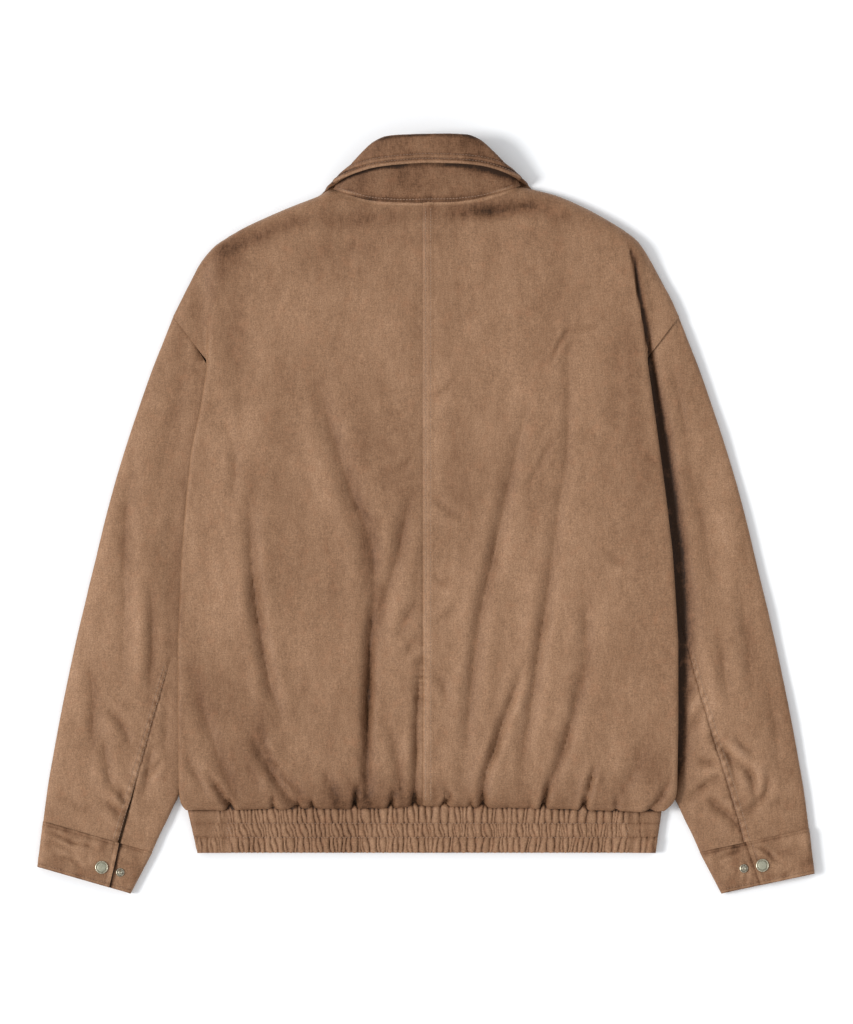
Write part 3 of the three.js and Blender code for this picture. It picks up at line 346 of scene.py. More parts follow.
def ease(x, low, high):
    t = np.clip((np.asarray(x, float) - low) / (high - low), 0, 1)
    return t * t * (3 - 2 * t)


def bell(distance, width):
    return np.exp(-((distance / width) ** 2))


def table(rows, at, column):
    rows = np.asarray(rows, float)
    return np.interp(at, rows[:, 0], rows[:, column])


def body(name, y):
    return table(BODY, y, BODY_COLUMN[name])


def fold_x(side, y):
    return body(side, y) - WALL / 2


def side_x(y):
    return table(SIDE, y, 1)


def unit(v):
    v = np.asarray(v, float)
    return v / np.linalg.norm(v)


def pchip(knots, values, at):
    """Smooth curve through the values along axis 0 that never overshoots between two of them."""
    step = np.diff(knots)[:, None, None]
    slope = np.diff(values, axis=0) / step
    before, after = slope[:-1], slope[1:]
    same = before * after > 0
    total = np.where(same, before + after, 1)
    inner = np.concatenate([slope[:1], np.where(same, 2 * before * after / total, 0), slope[-1:]])
    i = np.clip(np.searchsorted(knots, at, side="right") - 1, 0, len(knots) - 2)
    h = step[i]
    t = (at - knots[i])[:, None, None] / h
    bend = h * t * (1 - t) * (inner[i] * (1 - t) - inner[i + 1] * t)
    return lerp(values[i], values[i + 1], t * t * (3 - 2 * t)) + bend


def spacing(grid):
    """Distance along axis 0 of a grid, as a mean over the other axis."""
    steps = np.linalg.norm(np.diff(grid, axis=0), axis=2)
    return np.concatenate([[0], np.cumsum(steps.mean(axis=1))])


def stations(length, pitch, fine, reach):
    """Places along a length, closer together near its start, in a count that the lining divides."""
    places = np.concatenate([np.arange(0, reach, fine), np.arange(reach, length, pitch), [length]])
    count = max(int(round((len(places) - 1) / LINING_STEP)), 1) * LINING_STEP
    return np.interp(np.linspace(0, len(places) - 1, count + 1), np.arange(len(places)), places)


def refine(grid, pitch, rows=(1.0, 0.0), columns=(1.0, 0.0)):
    """The grid resampled smoothly; rows and columns give a finer pitch and how far it reaches."""
    grid = np.asarray(grid, float)
    for fine, reach in (rows, columns):
        knots = spacing(grid)
        grid = pchip(knots, grid, stations(knots[-1], pitch, fine, reach)).swapaxes(0, 1)
    return grid


def normals(grid):
    along = np.gradient(grid, axis=0)
    across = np.gradient(grid, axis=1)
    n = np.cross(across, along)
    return n / np.maximum(np.linalg.norm(n, axis=2, keepdims=True), 1e-9)


def path_distance(x, y, points):
    """Distance from a path, and the share of its length at the nearest place."""
    lengths = np.linalg.norm(np.diff(points, axis=0), axis=1)
    starts = np.concatenate([[0], np.cumsum(lengths)])
    best = np.full(x.shape, 1e9)
    share = np.zeros(x.shape)
    for k, length in enumerate(lengths):
        (x0, y0), (x1, y1) = points[k], points[k + 1]
        dx, dy = (x1 - x0) / length, (y1 - y0) / length
        t = np.clip((x - x0) * dx + (y - y0) * dy, 0, length)
        d = np.hypot(x - x0 - t * dx, y - y0 - t * dy)
        closer = d < best
        best = np.where(closer, d, best)
        share = np.where(closer, (starts[k] + t) / starts[-1], share)
    return best, share


def smooth_path(points, steps=6):
    points = np.asarray(points, float)[:, None, :]
    knots = spacing(points)
    return pchip(knots, points, np.linspace(0, knots[-1], steps * (len(points) - 1) + 1))[:, 0, :]


def crease_height(x, y, creases):
    """Height and crease shade of all the listed folds at each place."""
    height = np.zeros(x.shape)
    shade = np.zeros(x.shape)
    for width, depth, ridge, *points in creases:
        path = smooth_path(np.reshape(points, (-1, 2)))
        low, high = path.min(axis=0) - 5 * width, path.max(axis=0) + 5 * width
        near = (x > low[0]) & (x < high[0]) & (y > low[1]) & (y < high[1])
        if not near.any():
            continue
        d, share = path_distance(x[near], y[near], path)
        fade = np.sin(np.pi * np.clip(share, 0.02, 0.98)) ** 0.6
        wave = 1 + 0.16 * np.sin(share * 17 + width) + 0.1 * np.sin(share * 41 + depth)
        trough = 0.6 * bell(d, width) + 0.5 * np.exp(-d / (0.45 * width))
        bank = bell(d - 1.9 * width, 1.1 * width)
        height[near] += fade * wave * depth * (-trough + 0.45 * ridge * bank)
        # Painted shade in each trough and painted highlight on the bank beside it
        shade[near] += fade * (trough - 0.45 * bank) * min(depth / 4, 1)
    return height, shade


def ripple(x, y, scale, seed):
    """Slow uneven waves with no repeat that shows, between -1 and 1."""
    rng = np.random.default_rng(seed)
    total = np.zeros(x.shape)
    for _ in range(7):
        angle = rng.uniform(0, np.pi)
        wave = scale * rng.uniform(0.6, 1.7)
        phase = rng.uniform(0, 2 * np.pi)
        total += np.sin((x * np.cos(angle) + y * np.sin(angle)) * 2 * np.pi / wave + phase)
    return total / 7


def waves(x, y, *layers):
    """Ripples added up: stretch along x and along y, scale, seed, height."""
    return sum(ripple(x * along, y * across, scale, seed) * height
               for along, across, scale, seed, height in layers)


def ridges(away, rows):
    """Ridges and grooves, or the painted shade and highlight on them, beside an edge: distance from it,
    width, height.
    """
    return sum(height * bell(away - at, width) for at, width, height in rows)


def cleft_depth(x, y):
    """How far each place is sunk in the cleft beside the right sleeve, 0 to 1: sharp on its left."""
    away = x - table(CLEFT_EDGE, y, 1)
    reach = lerp(12.5, 3.6, ease(y, -40, 250)) - 2 * (1 - ease(y, -190, -90))
    ends = ease(y, -310, -270) * (1 - ease(y, 256, 284)) * lerp(0.85, 1, ease(y, -200, -80))
    return ends * bell(away, np.where(away < 0, 0.3 * reach, reach))


# Soft oval patches that brush the nap darker and lighter and paint shade and highlight
def nap_and_shading_patches(x, y, patches):
    shade = np.zeros(x.shape)
    for cx, cy, rx, ry, turn, amount in patches:
        a = math.radians(turn)
        dx, dy = x - cx, y - cy
        u = (dx * math.cos(a) + dy * math.sin(a)) / rx
        v = (-dx * math.sin(a) + dy * math.cos(a)) / ry
        shade += amount * np.exp(-(u * u + v * v))
    return shade


# Base grids, the same as the solids'

def fold_points(centre, outward, reach, upper, lower):
    """Points round a fold, from its upper layer down to its lower one."""
    middle, half = (upper + lower) / 2, (upper - lower) / 2
    points = []
    for k in range(1, FOLD_STEPS):
        angle = math.pi * (0.5 - k / FOLD_STEPS)
        away = reach * math.cos(angle)
        x, y = (c + o * away for c, o in zip(centre, outward))
        points.append((x, y, middle + half * math.sin(angle)))
    return points


def back_row(side, y):
    sign = SIDES[side]
    fold, top, under = fold_x(side, y), body("top", y), body("under", y)
    radius = (top - under) / 2
    start = sign * CENTRE_BACK_X + SEAM_LINE
    seam = side_x(y)
    calm = lerp(0.2, 1, ease(y, HEM_Y, HEM_Y + 20))
    row = []
    for share, *_ in BACK_EDGE:
        x = lerp(start, fold - radius, share)
        row.append((sign * x, y, top + calm * BACK_CROWN * (1 - share**2)))
    bend = np.clip(seam - fold, -radius, radius)
    for turn, *_ in BACK_EDGE_DROP:
        upper = math.pi / 2 * min(turn, 1)
        lower = math.pi / 2 * np.clip((turn - 1) / (FOLD_END_TURN - 1), 0, 1)
        run = max((turn - FOLD_END_TURN) / (2 - FOLD_END_TURN), 0)
        around = fold - radius * (1 - math.sin(upper)) + bend * (1 - math.cos(lower))
        z = under + radius * (1 + math.cos(upper) - math.sin(lower))
        row.append((sign * lerp(around, seam, run), y, z))
    return row


def back_grid(side):
    sign = SIDES[side]
    heights = [HEM_Y + h for h in (0, 2, 6, 12, 22, 38)]
    heights += list(np.linspace(heights[-1], YOKE_Y, 18)[1:])
    grid = [back_row(side, y) for y in heights]
    base = np.array(grid[-1])
    column = 2 if side == "left" else 3
    ends = []
    for j, edge in enumerate(BACK_EDGE + BACK_EDGE_DROP):
        x = sign * CENTRE_BACK_X + SEAM_LINE if j == 0 else edge[1]
        ends.append((sign * x, edge[column] - (SEAM_LINE if j <= NECK_COLUMNS else 0), edge[4]))
    ends = np.array(ends)
    length = np.hypot(*(ends - base)[:, :2].T)
    near = np.minimum(EDGE_ROWS[0], length * 0.5)
    distances = [lerp(length, near, share) for share in (0.25, 0.5, 0.75)]
    distances += [distance * near / EDGE_ROWS[0] for distance in EDGE_ROWS]
    for away in distances:
        place = lerp(base, ends, (1 - away / length)[:, None])
        rest = np.clip(away / np.minimum(EDGE_CURL, near), 0, 1)
        place[:, 2] = lerp(ends[:, 2], base[:, 2], np.sqrt(1 - (1 - rest) ** 2))
        grid.append(place.tolist())
    return np.array(grid, float)


def front_z(side, x, y):
    lift = WALL + 2 * SEAM + SNAP_HEIGHT
    lap = 1 - ease(x, PLACKET_REACH, PLACKET_REACH + PLACKET_FADE) if side == "right" else 0
    neck = ease(y, 160, 203) * (1 - ease(x, 124, 165))
    return WALL / 2 + lift * lap + NECK_LIFT * neck


def front_columns():
    neck = [(share, x, y, y) for share, x, y in NECK_FRONT]
    shoulder = [(lerp(0.14, 0.9, e[0]), e[1], e[2], e[3]) for e in BACK_EDGE[NECK_COLUMNS:]]
    return neck + shoulder + [(0.95, 224, 266, 269)]


def front_row(side, y):
    sign = SIDES[side]
    seam = side_x(y)
    flat = seam - SIDE_CURL
    row = []
    for share, *_ in front_columns():
        x = lerp(-FRONT_OVERLAP, flat - 4, share)
        row.append((sign * x, y, front_z(side, x, y)))
    wall_top = body("under", y) - WALL / 2 - SEAM
    curl = min(SIDE_CURL, wall_top - WALL / 2 - 0.6)
    up = 1 - ease(y, UNDERARM_Y - 12, UNDERARM_Y - 2)
    for turn, *_ in FRONT_SIDE_COLUMNS:
        angle = math.pi / 2 * min(turn, 1)
        raised_x = seam - SEAM / 2 - curl * (1 - math.sin(angle))
        raised_z = wall_top if turn > 1 else WALL / 2 + curl * (1 - math.cos(angle))
        level_x = flat + (SIDE_CURL - SEAM / 2) * turn / 2
        row.append((sign * lerp(level_x, raised_x, up), y, lerp(WALL / 2, raised_z, up)))
    return row


def front_grid(side):
    sign = SIDES[side]
    heights = [HEM_Y, HEM_Y + 4, *np.linspace(HEM_Y + 16, UNDERARM_Y - 14, 6), UNDERARM_Y]
    heights += list(np.linspace(UNDERARM_Y - 14, YOKE_Y, 6)[1:])
    grid = [front_row(side, y) for y in sorted(heights)]
    base = np.array(grid[-1])
    column = 2 if side == "left" else 3
    edges = front_columns() + FRONT_SIDE_COLUMNS
    gaps = [SEAM / 2 if j <= NECK_COLUMNS else 0 for j in range(len(edges))]
    ends = np.array([(sign * edge[1], edge[column] - gap, 0) for edge, gap in zip(edges, gaps)])
    length = np.hypot(*(ends - base)[:, :2].T)
    distances = [lerp(length, FRONT_CURL, share) for share in (0.3, 0.6)]
    distances += [np.full_like(length, d) for d in (7, 4, 1.2, 0)]
    on_neck = np.arange(len(edges)) < NECK_COLUMNS
    for away in distances:
        place = lerp(base, ends, (1 - away / length)[:, None])
        flat = front_z(side, sign * place[:, 0], place[:, 1])
        rise = 1 - np.sqrt(1 - (1 - np.clip(away / FRONT_CURL, 0, 1)) ** 2)
        place[:, 2] = lerp(flat, np.where(on_neck, flat, SHOULDER_SEAM_Z - SEAM / 2), rise)
        grid.append(place.tolist())
    return np.array(grid, float)


def sleeve_plan(side, row, share, shift=0.0):
    sign = SIDES[side]
    ox, oy, ix, iy, *_ = SLEEVE[row]
    if row == 0:
        y = lerp(UNDERARM_Y, SHOULDER_END_Y, share) + shift
        return np.array([sign * (side_x(y) + ARMHOLE_EASE), y])
    oy += SLEEVE_SHORTER[side] * row / (len(SLEEVE) - 1)
    outer, inner = np.array([sign * (ox - WALL / 2), oy]), np.array([sign * (ix + WALL / 2), iy])
    return lerp(inner, outer, share) + unit(outer - inner) * shift


def back_seam(side, row):
    upper, lower = BACK_SEAM[side]
    return lerp(upper, lower, float(ease(row, 8, len(SLEEVE) - 1)))


def sleeve_top_z(row, share, place, side):
    edge, rise = SLEEVE[row][4:]
    crown = edge + rise * math.sin(math.pi * min(max(share, 0), 1)) ** 0.8
    fold = 0 if place[1] > YOKE_Y else fold_x(side, place[1]) + EAVE_MARGIN
    return min(crown, EAVE_CLEARANCE + EAVE_SLOPE * max(abs(place[0]) - fold, 0))


def sleeve_row(side, row, outer, upper_count, lower_count):
    ox, oy, ix, iy, *_ = SLEEVE[row]
    reach = SLEEVE_FOLD / math.hypot(ox - ix, oy - iy)
    way = 1 if outer else -1
    fold_share = 1 - reach if outer else reach
    slit = way * lerp(SLEEVE_GAP, SLIT_GAP[side], float(ease(row, SLIT_FROM_ROW, SLIT_FROM_ROW + 2)))
    points = []
    for k in range(upper_count + 1):
        share = lerp(back_seam(side, row), fold_share, k / upper_count)
        place = sleeve_plan(side, row, share, slit if k == 0 else 0)
        points.append((*place, sleeve_top_z(row, share, place, side)))
    centre = sleeve_plan(side, row, fold_share)
    outward = sleeve_plan(side, row, 1 if outer else 0) - centre
    span = np.linalg.norm(outward)
    points += fold_points(centre, outward / span, span, points[-1][2], WALL / 2)
    for k in range(lower_count + 1):
        share = lerp(fold_share, FRONT_SEAM, k / lower_count)
        place = sleeve_plan(side, row, share, way * SLEEVE_GAP if k == lower_count else 0)
        points.append((*place, WALL / 2))
    return points


def sleeve_grid(side, outer):
    upper = 6 if outer else 4
    return np.array([sleeve_row(side, row, outer, upper, 3) for row in range(len(SLEEVE))], float)


def cuff_edges(side):
    """The cuff's outer and inner corners at the sleeve, then at its free edge."""
    sign = SIDES[side]
    last = len(SLEEVE) - 1
    outer_top, inner_top = sleeve_plan(side, last, 1), sleeve_plan(side, last, 0)
    line = unit(outer_top - inner_top)
    down = np.array([sign * line[1], -sign * line[0]]) * SEAM_LINE
    (ox, oy), (ix, iy) = CUFF_OUTER_BOTTOM, CUFF_INNER_BOTTOM
    outer_end = np.array([sign * (ox - CUFF_WALL / 2), oy + SLEEVE_SHORTER[side]])
    inner_end = np.array([sign * (ix + CUFF_WALL / 2), iy])
    return outer_top + down, inner_top + down, outer_end, inner_end


def cuff_place(side, part, share):
    """A place on a cuff: part across it from the inner fold, share from the sleeve to the free edge."""
    outer_top, inner_top, outer_end, inner_end = cuff_edges(side)
    return lerp(lerp(inner_top, inner_end, share), lerp(outer_top, outer_end, share), part)


def cuff_grid(side):
    low = CUFF_WALL / 2
    grid = []
    for share in (0, 0.34, 0.67, 1):
        lap = lerp(*CUFF_OVERLAP_END[side], share)
        inner, outer = cuff_place(side, 0, share), cuff_place(side, 1, share)
        width = np.linalg.norm(outer - inner)
        along = unit(outer - inner)
        reach = CUFF_FOLD / width

        def at(part, z):
            return (*(inner + along * part * width), z)

        points = [at(lerp(lap, 1 - reach, part), CUFF_OUTER_Z) for part in (0, 0.4, 0.75, 1)]
        points += fold_points(at(1 - reach, 0), along, CUFF_FOLD, CUFF_OUTER_Z, low)
        points += [at(lerp(1 - reach, reach, part), low) for part in (0, 0.33, 0.67, 1)]
        points += fold_points(at(reach, 0), -along, CUFF_FOLD, CUFF_INNER_Z, low)[::-1]
        points += [at(lerp(reach, lap + CUFF_UNDERLAP, part), CUFF_INNER_Z) for part in (0, 0.5, 1)]
        grid.append(points)
    return np.array(grid, float)


def collar_place(sign, x, y, z):
    across = COLLAR_CENTRE_X + sign * x
    return np.array([across, y + COLLAR_TILT * across, z])


def collar_rows(sign, row):
    nx, ny, nz, fx, fy, fz, ex, ey, ez, roll, radius = row
    neck = collar_place(sign, nx, ny + NECK_EASE, nz)
    turn = collar_place(sign, fx, fy, fz)
    edge = collar_place(sign, ex, ey, ez)
    rise = turn - neck
    flat = unit([rise[0], rise[1], 0])
    angle = math.radians(roll)
    facing = np.array([flat[1], -flat[0], 0]) * sign * math.cos(angle) + np.array([0, 0, math.sin(angle)])
    axis = unit(rise - facing * rise.dot(facing))

    def turned(degrees, way):
        a = math.radians(degrees)
        return turn - axis * radius * (1 - math.cos(a)) + facing * way * radius * math.sin(a)

    inside, outside = turned(90, -1), turned(90, 1)
    parts = (0, 0.34, 0.68, 1)
    stand = [lerp(neck, inside, part) for part in parts] + [turned(40, -1), turn - facing * SEAM_LINE]
    leaf = [turn + facing * SEAM_LINE, turned(40, 1)] + [lerp(outside, edge, part) for part in parts]
    return stand, leaf


def collar_grids():
    rows = [collar_rows(-1, row) for row in reversed(COLLAR[1:])] + [collar_rows(1, row) for row in COLLAR]
    return np.array([stand for stand, _ in rows]), np.array([leaf for _, leaf in rows])


def band_end_grid(side):
    sign = SIDES[side]
    low, high = BAND_WALL / 2, BAND_END_Z
    radius = (high - low) / 2
    start = sign * BAND_BACK_X[side] + SEAM_LINE
    lift = BAND_WALL + 2 * SEAM + SNAP_HEIGHT if side == "right" else 0
    grid = []
    for y in (BAND_TOP_Y, -309, -332, BAND_BOTTOM_Y):
        down = (BAND_TOP_Y - y) / (BAND_TOP_Y - BAND_BOTTOM_Y)
        fold = lerp(BAND_SIDE_TOP[side], BAND_SIDE_BOTTOM[side], down) - BAND_WALL / 2 - radius
        points = [(sign * x, y, high) for x in (start, (start + fold) / 2, fold)]
        points += fold_points((sign * fold, y), (sign, 0), radius, high, low)
        for x in (fold, 160, 80, 40, 34, 24, 18, 0, -FRONT_OVERLAP):
            lap = 1 - ease(x, PLACKET_REACH, PLACKET_REACH + PLACKET_FADE)
            points.append((sign * x, y, low + lift * lap))
        grid.append(points)
    return np.array(grid, float)


# Materials

def new_material(name):
    material = bpy.data.materials.new(name)
    material.use_nodes = True
    tree = material.node_tree
    tree.nodes.clear()
    output = tree.nodes.new("ShaderNodeOutputMaterial")
    shader = tree.nodes.new("ShaderNodeBsdfPrincipled")
    tree.links.new(shader.outputs["BSDF"], output.inputs["Surface"])
    return material, tree, shader


def set_inputs(node, inputs):
    """Each input takes a value, or a link from another node's output."""
    for name, value in inputs.items():
        if isinstance(value, bpy.types.NodeSocket):
            node.id_data.links.new(value, node.inputs[name])
        else:
            node.inputs[name].default_value = value


def add_node(tree, kind, output, inputs, **settings):
    node = tree.nodes.new("ShaderNode" + kind)
    for name, value in settings.items():
        setattr(node, name, value)
    set_inputs(node, inputs)
    return node.outputs[output]


def object_coords(tree):
    return add_node(tree, "TexCoord", "Object", {})


def noise(tree, vector, scale, detail, roughness=0.55):
    inputs = {"Vector": vector, "Scale": scale, "Detail": detail, "Roughness": roughness}
    return add_node(tree, "TexNoise", "Fac", inputs)


def mapped(tree, vector, scale, turn=0.0):
    inputs = {"Vector": vector, "Scale": scale, "Rotation": (0, 0, math.radians(turn))}
    return add_node(tree, "Mapping", "Vector", inputs)


def math_node(tree, operation, a, b):
    return add_node(tree, "Math", "Value", {0: a, 1: b}, operation=operation)


def map_range(tree, value, low, high, to_low, to_high):
    inputs = {"Value": value, "From Min": low, "From Max": high, "To Min": to_low, "To Max": to_high}
    return add_node(tree, "MapRange", "Result", inputs)


def bump(tree, height, strength, distance):
    return add_node(tree, "Bump", "Normal", {"Height": height, "Strength": strength, "Distance": distance})


def color_ramp(tree, value, stops):
    node = tree.nodes.new("ShaderNodeValToRGB")
    elements = node.color_ramp.elements
    while len(elements) < len(stops):
        elements.new(0.5)
    for element, (place, color) in zip(elements, stops):
        element.position = place
        element.color = (*color, 1)
    set_inputs(node, {"Fac": value})
    return node.outputs["Color"]


# Suede colour from its darkest painted shade to its lightest nap and painted highlight: place, color
SUEDE_TONES = [
    (0.0, (0.030, 0.012, 0.004)),
    (0.14, (0.088, 0.038, 0.016)),
    (0.3, (0.172, 0.084, 0.042)),
    (0.5, (0.246, 0.133, 0.072)),
    (0.7, (0.325, 0.184, 0.105)),
    (1.0, (0.460, 0.280, 0.180)),
]
SUEDE_WARM = (0.36, 0.165, 0.085, 1)


def suede(name, shade=0.0):
    """Short brushed nap: cloudy browns, brush marks, a fine twill under it and a grain of fibres, on a tone
    from the mesh that also carries painted shade and highlight.
    """
    material, tree, shader = new_material(name)
    coords = object_coords(tree)
    clouds = noise(tree, mapped(tree, coords, (1, 0.45, 1), 12), 11.0, 3.0, 0.6)
    marks = noise(tree, mapped(tree, coords, (1, 0.35, 1), -14), 34.0, 4.0, 0.62)
    blots = noise(tree, mapped(tree, coords, (1, 0.5, 1), 8), 110.0, 3.0, 0.6)
    warp = noise(tree, mapped(tree, coords, (760, 130, 760)), 1.0, 2.0)
    weft = noise(tree, mapped(tree, coords, (130, 760, 760)), 1.0, 2.0)
    grain = noise(tree, coords, 820.0, 3.0, 0.75)
    # The tone starts from the mesh's attribute, which adds painted shade and painted highlight to the nap
    tone = math_node(tree, "ADD", add_node(tree, "Attribute", "Fac", {}, attribute_name="nap_and_shading"), 0.5 + shade)
    for source, reach in ((clouds, 0.08), (marks, 0.07), (blots, 0.06), (warp, 0.06), (weft, 0.04)):
        tone = math_node(tree, "ADD", tone, map_range(tree, source, 0.3, 0.7, -reach, reach))
    fibre_shade = map_range(tree, grain, 0.3, 0.7, 0.64, 1.36)
    color = {"Vector": color_ramp(tree, tone, SUEDE_TONES), "Scale": fibre_shade}
    color = add_node(tree, "VectorMath", "Vector", color, operation="SCALE")
    flush = map_range(tree, noise(tree, coords, 75.0, 3.0, 0.7), 0.55, 0.8, 0, 0.3)
    mix = {"Factor": flush, "A": color, "B": SUEDE_WARM}
    fibres = math_node(tree, "ADD", grain, math_node(tree, "MULTIPLY", blots, 1.2))
    set_inputs(shader, {
        "Base Color": add_node(tree, "Mix", "Result", mix, data_type="RGBA"),
        "Roughness": map_range(tree, marks, 0.3, 0.7, 0.66, 0.54),
        "Specular IOR Level": 0.2,
        "Sheen Weight": 0.1,
        "Sheen Roughness": 0.4,
        "Sheen Tint": (0.85, 0.62, 0.44, 1),
        "Normal": bump(tree, fibres, 0.5, 0.0005),
    })
    return material


def thread_material(dark, light):
    material, tree, shader = new_material("thread")
    twist = noise(tree, mapped(tree, object_coords(tree), (2600, 900, 2600)), 1.0, 2.0)
    color = color_ramp(tree, twist, [(0.35, dark), (0.65, light)])
    set_inputs(shader, {"Base Color": color, "Roughness": 0.5, "Sheen Weight": 0.2})
    return material


def nickel(name, color, dark, roughness, metallic):
    material, tree, shader = new_material(name)
    wear = noise(tree, object_coords(tree), 700.0, 4.0, 0.65)
    set_inputs(shader, {
        "Base Color": color_ramp(tree, wear, [(0.34, dark), (0.6, color)]),
        "Roughness": map_range(tree, wear, 0.3, 0.7, roughness + 0.12, roughness - 0.05),
        "Metallic": metallic,
        "Normal": bump(tree, wear, 0.2, 0.0002),
    })
    return material


# Meshes

# A stitch: share of its length, swell of its radius
STITCH_RINGS = ((0.0, 0.4), (0.22, 0.95), (0.78, 0.95), (1.0, 0.4))
STITCH_SIDES = 6
STITCH_PITCH = 3.2
DROP_HEIGHT = 80.0
SHARP_EDGE = math.radians(55)


def make_object(name, vertices, faces, material, nap_and_shading=None):
    mesh = bpy.data.meshes.new(name)
    mesh.from_pydata((np.asarray(vertices) * MM).tolist(), [], faces)
    mesh.update()
    # This attribute holds the nap's tone together with painted shade and painted highlight
    if nap_and_shading is not None:
        mesh.attributes.new("nap_and_shading", "FLOAT", "POINT").data.foreach_set("value", np.asarray(nap_and_shading, np.float32))
    mesh.polygons.foreach_set("use_smooth", np.ones(len(mesh.polygons), bool))
    mesh.set_sharp_from_angle(angle=SHARP_EDGE)
    mesh.materials.append(material)
    piece = bpy.data.objects.new(name, mesh)
    bpy.context.scene.collection.objects.link(piece)
    return piece


def boundary(index):
    return np.concatenate([index[0], index[1:, -1], index[-1, -2::-1], index[-2:0:-1, 0]])


def quads(index):
    a, b, c, d = index[:-1, :-1], index[:-1, 1:], index[1:, 1:], index[1:, :-1]
    return np.stack([a, b, c, d], -1).reshape(-1, 4)


def tube_faces(rings, sides, start=0):
    """Faces between rings of points, closed at both ends."""
    index = start + np.arange(rings * sides).reshape(rings, sides)
    around = np.concatenate([index, index[:, :1]], axis=1)
    return quads(around).tolist() + [index[0, ::-1].tolist(), index[-1].tolist()]


def lowest_near(values):
    """The least value within the lining's reach of each place."""
    step = LINING_STEP - 1
    padded = np.pad(values, step, mode="edge")
    rows, columns = values.shape
    shifts = range(2 * step + 1)
    return np.min([padded[i:i + rows, j:j + columns] for i in shifts for j in shifts], axis=0)


def shell(name, grid, thickness, material, lift=0.0, nap_and_shading=0.0):
    """A closed wall about a grid: a fine face that carries the creases, and a coarser lining."""
    n = normals(grid)
    lift, nap_and_shading = (np.zeros(grid.shape[:2]) + values for values in (lift, nap_and_shading))
    outer = grid + n * (thickness / 2 + lift)[..., None]
    step = LINING_STEP
    low = lowest_near(lift)[::step, ::step]
    inner = grid[::step, ::step] + n[::step, ::step] * (low - thickness / 2)[..., None]
    index = np.arange(lift.size).reshape(lift.shape)
    lining = np.arange(low.size).reshape(low.shape) + lift.size
    rim, lining_rim = boundary(index), boundary(lining)
    faces = quads(index).tolist() + quads(lining)[:, ::-1].tolist()
    count = len(lining_rim)
    for k in range(count):
        along = [int(rim[(step * k + m) % len(rim)]) for m in range(step, -1, -1)]
        faces.append(along + [int(lining_rim[k]), int(lining_rim[(k + 1) % count])])
    vertices = np.concatenate([outer.reshape(-1, 3), inner.reshape(-1, 3)])
    nap_and_shading = np.concatenate([nap_and_shading.ravel(), np.zeros(lining.size)])
    return make_object(name, vertices, faces, material, nap_and_shading)


def facing_up(grid, column):
    """The grid with its rows in the order that makes the given column's outer face look up."""
    if normals(grid)[grid.shape[0] // 2, column, 2] < 0:
        return grid[::-1]
    return grid


def surface_of(piece):
    mesh = piece.data
    vertices = np.empty(len(mesh.vertices) * 3)
    mesh.vertices.foreach_get("co", vertices)
    polygons = [tuple(p.vertices) for p in mesh.polygons]
    return BVHTree.FromPolygons([Vector(v) for v in vertices.reshape(-1, 3)], polygons)


def drop(tree, x, y):
    """The place on a piece straight below a point, and the surface's normal there."""
    hit, normal, _, _ = tree.ray_cast(Vector((x * MM, y * MM, DROP_HEIGHT * MM)), Vector((0, 0, -1)))
    if hit is None:
        return None
    return np.array(hit) / MM, np.array(normal)


def stitch_row(tree, points, length, radius, start):
    """Vertices and faces of a row of sewn stitches along a path laid on a piece."""
    path = smooth_path(points, 24)
    steps = np.concatenate([[0], np.cumsum(np.linalg.norm(np.diff(path, axis=0), axis=1))])
    turns = 2 * math.pi * np.arange(STITCH_SIDES) / STITCH_SIDES
    vertices, faces = [], []
    for k in range(int(steps[-1] / STITCH_PITCH)):
        middle = (k + 0.5) * STITCH_PITCH
        ends = [[np.interp(middle + s * length / 2, steps, path[:, i]) for i in (0, 1)] for s in (-1, 1)]
        hits = [drop(tree, *end) for end in ends]
        if any(hit is None for hit in hits):
            continue
        (a, n), (b, _) = hits
        if abs(a[2] - b[2]) > length:
            continue
        axis = unit(b - a)
        side = unit(np.cross(n if n[2] > 0 else -n, axis))
        up = unit(np.cross(axis, side))
        faces += tube_faces(len(STITCH_RINGS), STITCH_SIDES, start + len(vertices))
        for share, swell in STITCH_RINGS:
            centre = lerp(a, b, share) + up * radius * (0.7 * swell - 0.25)
            vertices += [centre + (side * math.cos(t) + up * math.sin(t)) * radius * swell for t in turns]
    return vertices, faces


def add_stitches(name, piece, rows, length=2.3, radius=0.34, material=None):
    tree = surface_of(piece)
    vertices, faces = [], []
    for points in rows:
        row_vertices, row_faces = stitch_row(tree, points, length, radius, len(vertices))
        vertices += row_vertices
        faces += row_faces
    thread = make_object(name, vertices, faces, material or THREAD)
    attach(thread, "root")


def lathe(name, centre, profile, sides, material):
    x, y, z = centre
    turns = 2 * math.pi * np.arange(sides) / sides
    vertices = [(x + r * math.cos(t), y + r * math.sin(t), z + h) for r, h in profile for t in turns]
    return make_object(name, vertices, tube_faces(len(profile), sides), material)


def dress(piece, *nodes, slot="suede"):
    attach(piece, "root")
    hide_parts(*nodes)
    return piece


SUEDE_BODY = suede("suede_body")
SUEDE_SLEEVE = suede("suede_sleeve", 0.02)
SUEDE_COLLAR = suede("suede_collar", -0.2)
SUEDE_STAND = suede("suede_stand", -0.17)
SUEDE_BAND = suede("suede_waistband", -0.07)
SUEDE_CUFF = suede("suede_cuff", -0.02)
THREAD = thread_material((0.19, 0.105, 0.06), (0.38, 0.235, 0.15))
THREAD_DARK = thread_material((0.14, 0.075, 0.04), (0.27, 0.155, 0.095))


# Back

BACK_TOPSTITCH = (3.2, 8.4)


